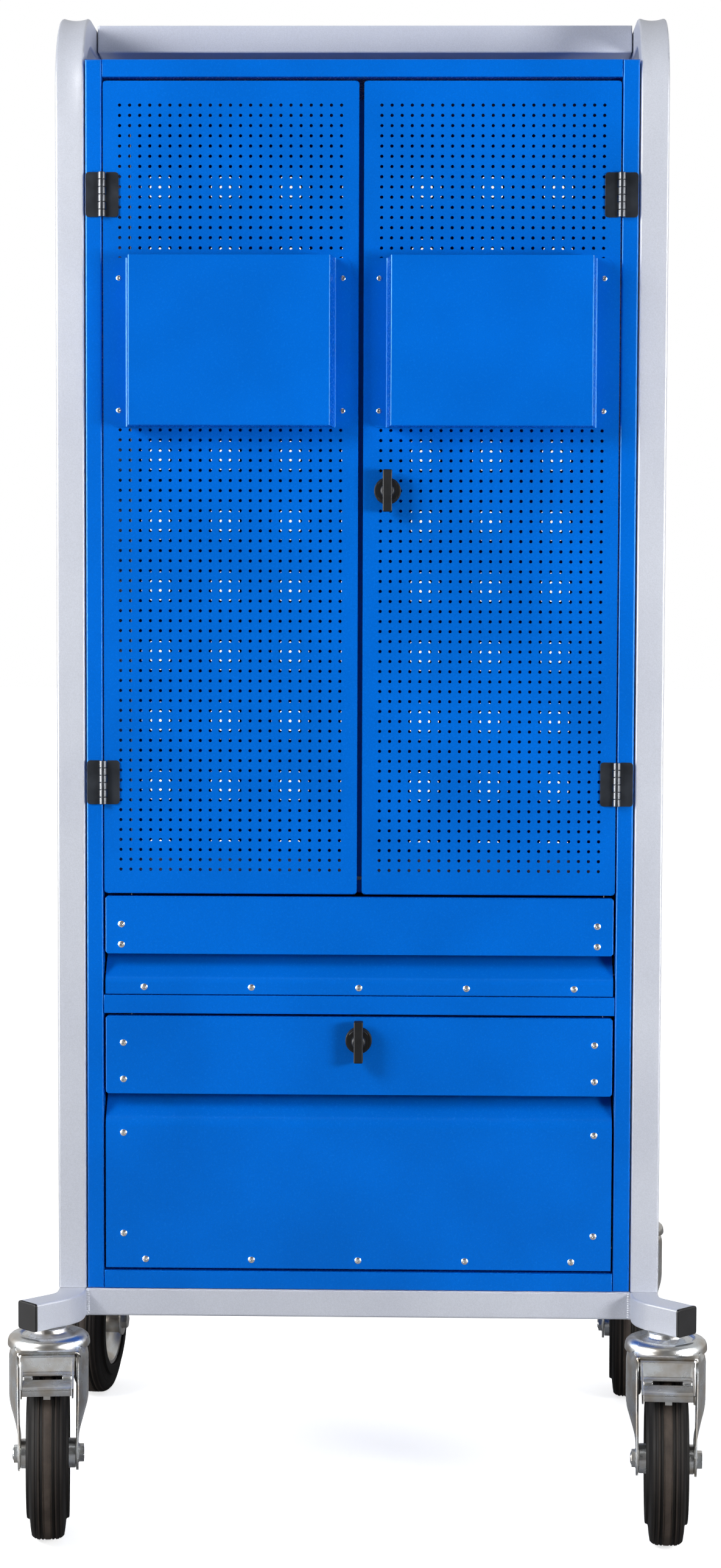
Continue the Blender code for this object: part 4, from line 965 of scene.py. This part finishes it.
def bar_across(bm, radius, half, place, steps=24):
    """A round bar across the caster, with its middle at a place."""
    before = set(bm.verts)
    stud(bm, radius, -half, half, steps)
    new = [v for v in bm.verts if v not in before]
    bmesh.ops.transform(bm, matrix=Matrix.Translation(place) @ ACROSS, verts=new)


def ear(bm, side):
    """A flat cheek of the pedal, from its outline."""
    outline = [bm.verts.new((side * EAR_X, -y, z)) for y, z in EAR]
    cheek = bmesh.ops.contextual_create(bm, geom=outline)["faces"]
    grown = bmesh.ops.extrude_face_region(bm, geom=cheek, use_keep_orig=True)["geom"]
    grown = [g for g in grown if isinstance(g, bmesh.types.BMVert)]
    bmesh.ops.translate(bm, vec=(side * PEDAL_SHEET, 0, 0), verts=grown)


for name in ("front_left", "front_right"):
    body = f"brake_{name}"
    for part, line, half, radius, stands_for in (
        ("shield", SHIELD, 0.0315, 0.0015, ()),
        ("plate", PLATE, 0.0285, 0.0012, [f"pedal_{name}"]),
    ):
        bm = bmesh.new()
        bent_strip(bm, line, half, radius)
        bm.transform(caster_place(name))
        pressed(f"pedal_{part}_{name}", bm, body, PEDAL_SHEET, stands_for)

    bm = bmesh.new()
    block(bm, (-0.004, -0.1262, 0.1852), (0.004, -0.1240, 0.1905))
    for side in (-1, 1):
        left, right = side * CURL_X - CURL_HALF, side * CURL_X + CURL_HALF
        bar_across(bm, 0.0042, CURL_HALF, (side * CURL_X, -0.0885, 0.1995))
        block(bm, (left, -0.097, 0.1982), (right, -0.088, 0.2008))
        block(bm, (left, -0.089, 0.2010), (right, -0.081, 0.2032))
        ear(bm, side)
    bar_across(bm, 0.003, 0.0325, (0, -0.059, 0.2155), 16)
    bm.transform(caster_place(name))
    piece(f"pedal_curls_and_ears_{name}", bm, zinc, body, sharp=30)

# %% [markdown]
# ## Hinges
# A butt hinge is two leaves of the same strip. Each is notched, and the tongues that stay are
# rolled into knuckles, which take turns along the pin. The pin is held by the frame's leaf.

# %% Hinges
KNUCKLE, KNUCKLES, LEAF, REACH, TALL = 0.0045, 6, 0.002, 0.01975, 0.053
PIN, PIN_X, PIN_OUT, LEAF_CORNER, KNUCKLE_PLAY = 0.0024, 0.309, 0.0048, 0.004, 0.0002


def hinge_leaf(name, place, first, body, stands_for):
    """A leaf to the right of the pin, with every second knuckle, counted from below."""
    bm = bmesh.new()
    block(bm, (KNUCKLE + 0.0004, KNUCKLE - LEAF, -TALL / 2), (REACH, KNUCKLE, TALL / 2))
    free = edges_where(bm, lambda co: co.x > REACH - NEAR)
    rounded(bm, [e for e in free if abs(e.verts[0].co.z - e.verts[1].co.z) < NEAR], LEAF_CORNER, 4)
    rounded(bm, edges_where(bm, lambda co: co.y < KNUCKLE - LEAF + NEAR), 0.0005, 2)
    pitch = TALL / KNUCKLES
    for i in range(first, KNUCKLES, 2):
        foot = -TALL / 2 + i * pitch
        low, high = foot + KNUCKLE_PLAY, foot + pitch - KNUCKLE_PLAY
        stud(bm, KNUCKLE, low, high)
        block(bm, (0, KNUCKLE - LEAF, low), (KNUCKLE + 0.0006, KNUCKLE, high))
    if "frame" in name:
        stud(bm, PIN, -TALL / 2, TALL / 2, 16)
    bm.transform(place)
    piece(name, bm, black_steel, body, stands_for, sharp=30)


for side, sign in (("left", -1), ("right", 1)):
    for level in ("lower", "upper"):
        near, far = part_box(f"hinge_{side}_{level}_frame_leaf")
        pin = Matrix.Translation((sign * PIN_X, FRONT - PIN_OUT, (near.z + far.z) / 2))
        for leaf, body, way in (("frame", "cabinet", sign), ("door", f"{side}_door", -sign)):
            name, node = f"{side}_{level}_{leaf}_hinge_leaf", f"hinge_{side}_{level}_{leaf}_leaf"
            place = pin @ Matrix.Scale(way, 4, (1, 0, 0))
            hinge_leaf(name, place, 0 if way > 0 else 1, body, [node])

# %% [markdown]
# ## Wing knobs
# The doors and the lower drawer are latched by the same moulded knob: a round base with a raised
# step, a hub, and a flat wing across it. A steel cam turns with it behind the sheet.

# %% Wing knobs
WING_THICK, WING_LONG, WING_FOOT, WING_TOP, WING_EDGE = 0.011, 0.050, 0.0095, 0.026, 0.0014
KNOB_BASE = [
    (0, 0.0080), (0.0142, 0.0080), (0.0154, 0.0076), (0.0160, 0.0066), (0.0161, 0.0004),
    (0, 0.0004),
]
KNOB_STEP = [(0, 0.0122), (0.0132, 0.0118), (0.0140, 0.0110), (0.0142, 0.0070), (0, 0.0070)]
KNOB_HUB = [
    (0, 0.0240), (0.0062, 0.0236), (0.0078, 0.0222), (0.0085, 0.0190), (0.0088, 0.0115),
    (0.0096, 0.0105), (0, 0.0105),
]
STEP_HALF, SHAFT, CAM_HALF, CAM_SHEET, CAM_CORNER = 0.011, 0.004, 0.0097, 0.0025, 0.004


def own_edges(bm, verts):
    """The edges between these vertices."""
    own = set(verts)
    return [e for e in bm.edges if own.issuperset(e.verts)]


def flat_sided_step(bm):
    """The raised step on the knob's base, with its left and right cut flat."""
    before = set(bm.verts)
    turned(bm, KNOB_STEP, 64)
    for sign in (-1, 1):
        step = [v for v in bm.verts if v not in before]
        part = list({g for v in step for g in (v, *v.link_edges, *v.link_faces)})
        cut = {"plane_co": (sign * STEP_HALF, 0, 0), "plane_no": (sign, 0, 0)}
        bmesh.ops.bisect_plane(bm, geom=part, clear_outer=True, **cut)
        step = [v for v in bm.verts if v not in before]
        open_edges = {e for v in step for e in v.link_edges if e.is_boundary}
        bmesh.ops.holes_fill(bm, edges=list(open_edges))


for name in ("door_knob", "drawer_knob"):
    near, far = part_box(name)
    bm = bmesh.new()
    turned(bm, KNOB_BASE, 64)
    flat_sided_step(bm)
    turned(bm, KNOB_HUB, 48)
    half = Vector((WING_THICK / 2, WING_LONG / 2, 0))
    wing = block(bm, Vector((0, 0, WING_FOOT)) - half, Vector((0, 0, WING_TOP)) + half)
    rounded(bm, own_edges(bm, wing), WING_EDGE)
    behind, top = FRONT - far.y, far.z - near.z - WING_LONG / 2
    stud(bm, SHAFT, behind, 0.008)
    cam = block(bm, (-CAM_HALF, -CAM_HALF, behind), (CAM_HALF, top, behind + CAM_SHEET))
    upright = [e for e in own_edges(bm, cam) if abs(e.verts[0].co.z - e.verts[1].co.z) > 0.002]
    rounded(bm, upright, CAM_CORNER)
    centre = ((near.x + far.x) / 2, FRONT, near.z + WING_LONG / 2)
    bm.transform(Matrix.Translation(centre) @ Matrix.Rotation(math.pi / 2, 4, "X"))
    piece(f"moulded_{name}", bm, plastic, name, [name], sharp=30)

# %% [markdown]
# ## Weld beads
# The cross tubes are welded between the legs. Each bead is a row of small overlapping drops, drawn
# up the seam by the spin operator.

# %% Weld beads
DROP, DROP_STEP, DROPS, PROUD = 0.0026, 0.0028, 10, 0.0004

bm = bmesh.new()
for sign in (-1, 1):
    for y in (FRONT - PROUD, FRONT + TUBE + PROUD, BACK - TUBE - PROUD, BACK + PROUD):
        foot = (sign * (UPRIGHT - TUBE / 2 - 2 * PROUD), y, BASE - TUBE / 2 + 0.003)
        place = Matrix.Translation(foot) @ Matrix.Diagonal((1.25, 0.75, 1, 1))
        drop = bmesh.ops.create_icosphere(bm, subdivisions=2, radius=DROP, matrix=place)["verts"]
        drop = list({g for v in drop for g in (v, *v.link_edges, *v.link_faces)})
        repeated(bm, drop, (0, 0, DROP_STEP), DROPS)
piece("weld_beads_on_cross_tubes", bm, grey, "cabinet")

# %% [markdown]
# ## Floor, light and camera
# The cart stands on a pale floor, with a white world behind it. A soft light stands high at the
# left, another lower at the right, and a weak strip hangs in front, high up. Two tall strips beside
# the cart only show in gloss, where they draw the bright lines along the folded edges. The camera's
# place, lens and angles were fitted to the edges and the rows of holes in the photograph.

# %% Floor
bm = bmesh.new()
bmesh.ops.create_grid(bm, x_segments=1, y_segments=1, size=30)
mesh = bpy.data.meshes.new("floor")
bm.to_mesh(mesh)
bm.free()
floor = bpy.data.objects.new("floor", mesh)
bpy.context.scene.collection.objects.link(floor)
material, shader = new_material(
    "pale studio floor", Roughness=0.9, Emission_Color=srgb("FFFFFF")
)
rays = add(material, "LightPath", {}).outputs
seen = add(material, "Math", {
    0: rays["Is Camera Ray"], 1: rays["Is Transmission Ray"],
}, operation="MAXIMUM").outputs["Value"]
paint = add(material, "Mix", {
    "Factor": seen, "A": srgb("A0A0A0"), "B": srgb("F6F6F6"),
}, data_type="RGBA")
lift = add(material, "Math", {0: seen, 1: 0.7}, operation="MULTIPLY")
wire(
    material, shader, Base_Color=paint.outputs["Result"],
    Emission_Strength=lift.outputs["Value"],
)
mesh.materials.append(material)

# %% World
world = bpy.data.worlds.new("studio")
bpy.context.scene.world = world
world.use_nodes = True
sky = world.node_tree.nodes["Background"]
place = add(world, "TexCoord", {}).outputs["Generated"]
towards = add(world, "SeparateXYZ", {"Vector": place}).outputs["Y"]
rays = add(world, "LightPath", {}).outputs
front = add(world, "MapRange", {
    "Value": rays["Is Glossy Ray"], "To Min": 0.12, "To Max": 0.07,
}).outputs["Result"]
room = add(world, "MapRange", {
    "Value": towards, "From Min": -0.35, "From Max": 0.35, "To Min": front, "To Max": 0.7,
})
strength = add(world, "Math", {
    0: room.outputs["Result"], 1: rays["Is Camera Ray"],
}, operation="MAXIMUM")
world.node_tree.links.new(strength.outputs["Value"], sky.inputs["Strength"])
sky.inputs["Color"].default_value = srgb("FFFFFF")

# %% Softboxes
def softbox(name, place, target, width, height, power):
    """A large area light that looks at a point."""
    light = bpy.data.lights.new(name, "AREA")
    light.shape = "RECTANGLE"
    light.size, light.size_y = width, height
    light.energy = power
    obj = bpy.data.objects.new(name, light)
    obj.location = place
    obj.rotation_euler = (Vector(target) - Vector(place)).to_track_quat("-Z", "Y").to_euler()
    bpy.context.scene.collection.objects.link(obj)
    return obj


softbox("high_left_softbox", (-2.0, -1.9, 2.25), (0, 0, 1.5), 0.9, 1.1, 55)
softbox("right_softbox", (2.1, -2.2, 1.15), (0, 0, 1.15), 0.8, 0.6, 50)
softbox("overhead_strip", (0, -2.2, 3.7), (0, 0, 0.8), 1.8, 0.4, 5)
for side, sign, power in (("left", -1, 420), ("right", 1, 200)):
    stand, edge = (sign * 2.6, -1.3, 1.25), (sign * 0.3, -0.22, 1.25)
    strip = softbox(f"edge_strip_{side}", stand, edge, 1.3, 2.0, power)
    strip.visible_diffuse = False

# %% Camera
FILM_MM, LENS_MM, STAND = 36, 68.69, (0.0755, -3.8194, 1.1271)
TO_LEFT, DOWNWARD, ROLLED = 1.184, 3.727, 0.193

camera = bpy.data.cameras.new("camera")
camera.sensor_width, camera.lens = FILM_MM, LENS_MM
eye = bpy.data.objects.new("camera", camera)
turn = Matrix.Rotation(math.radians(TO_LEFT), 4, "Z")
tilt = Matrix.Rotation(math.radians(90 - DOWNWARD), 4, "X")
roll = Matrix.Rotation(math.radians(ROLLED), 4, "Z")
eye.matrix_world = Matrix.Translation(STAND) @ turn @ tilt @ roll
bpy.context.scene.collection.objects.link(eye)
bpy.context.scene.camera = eye
bpy.context.scene.view_settings.view_transform = "Standard"
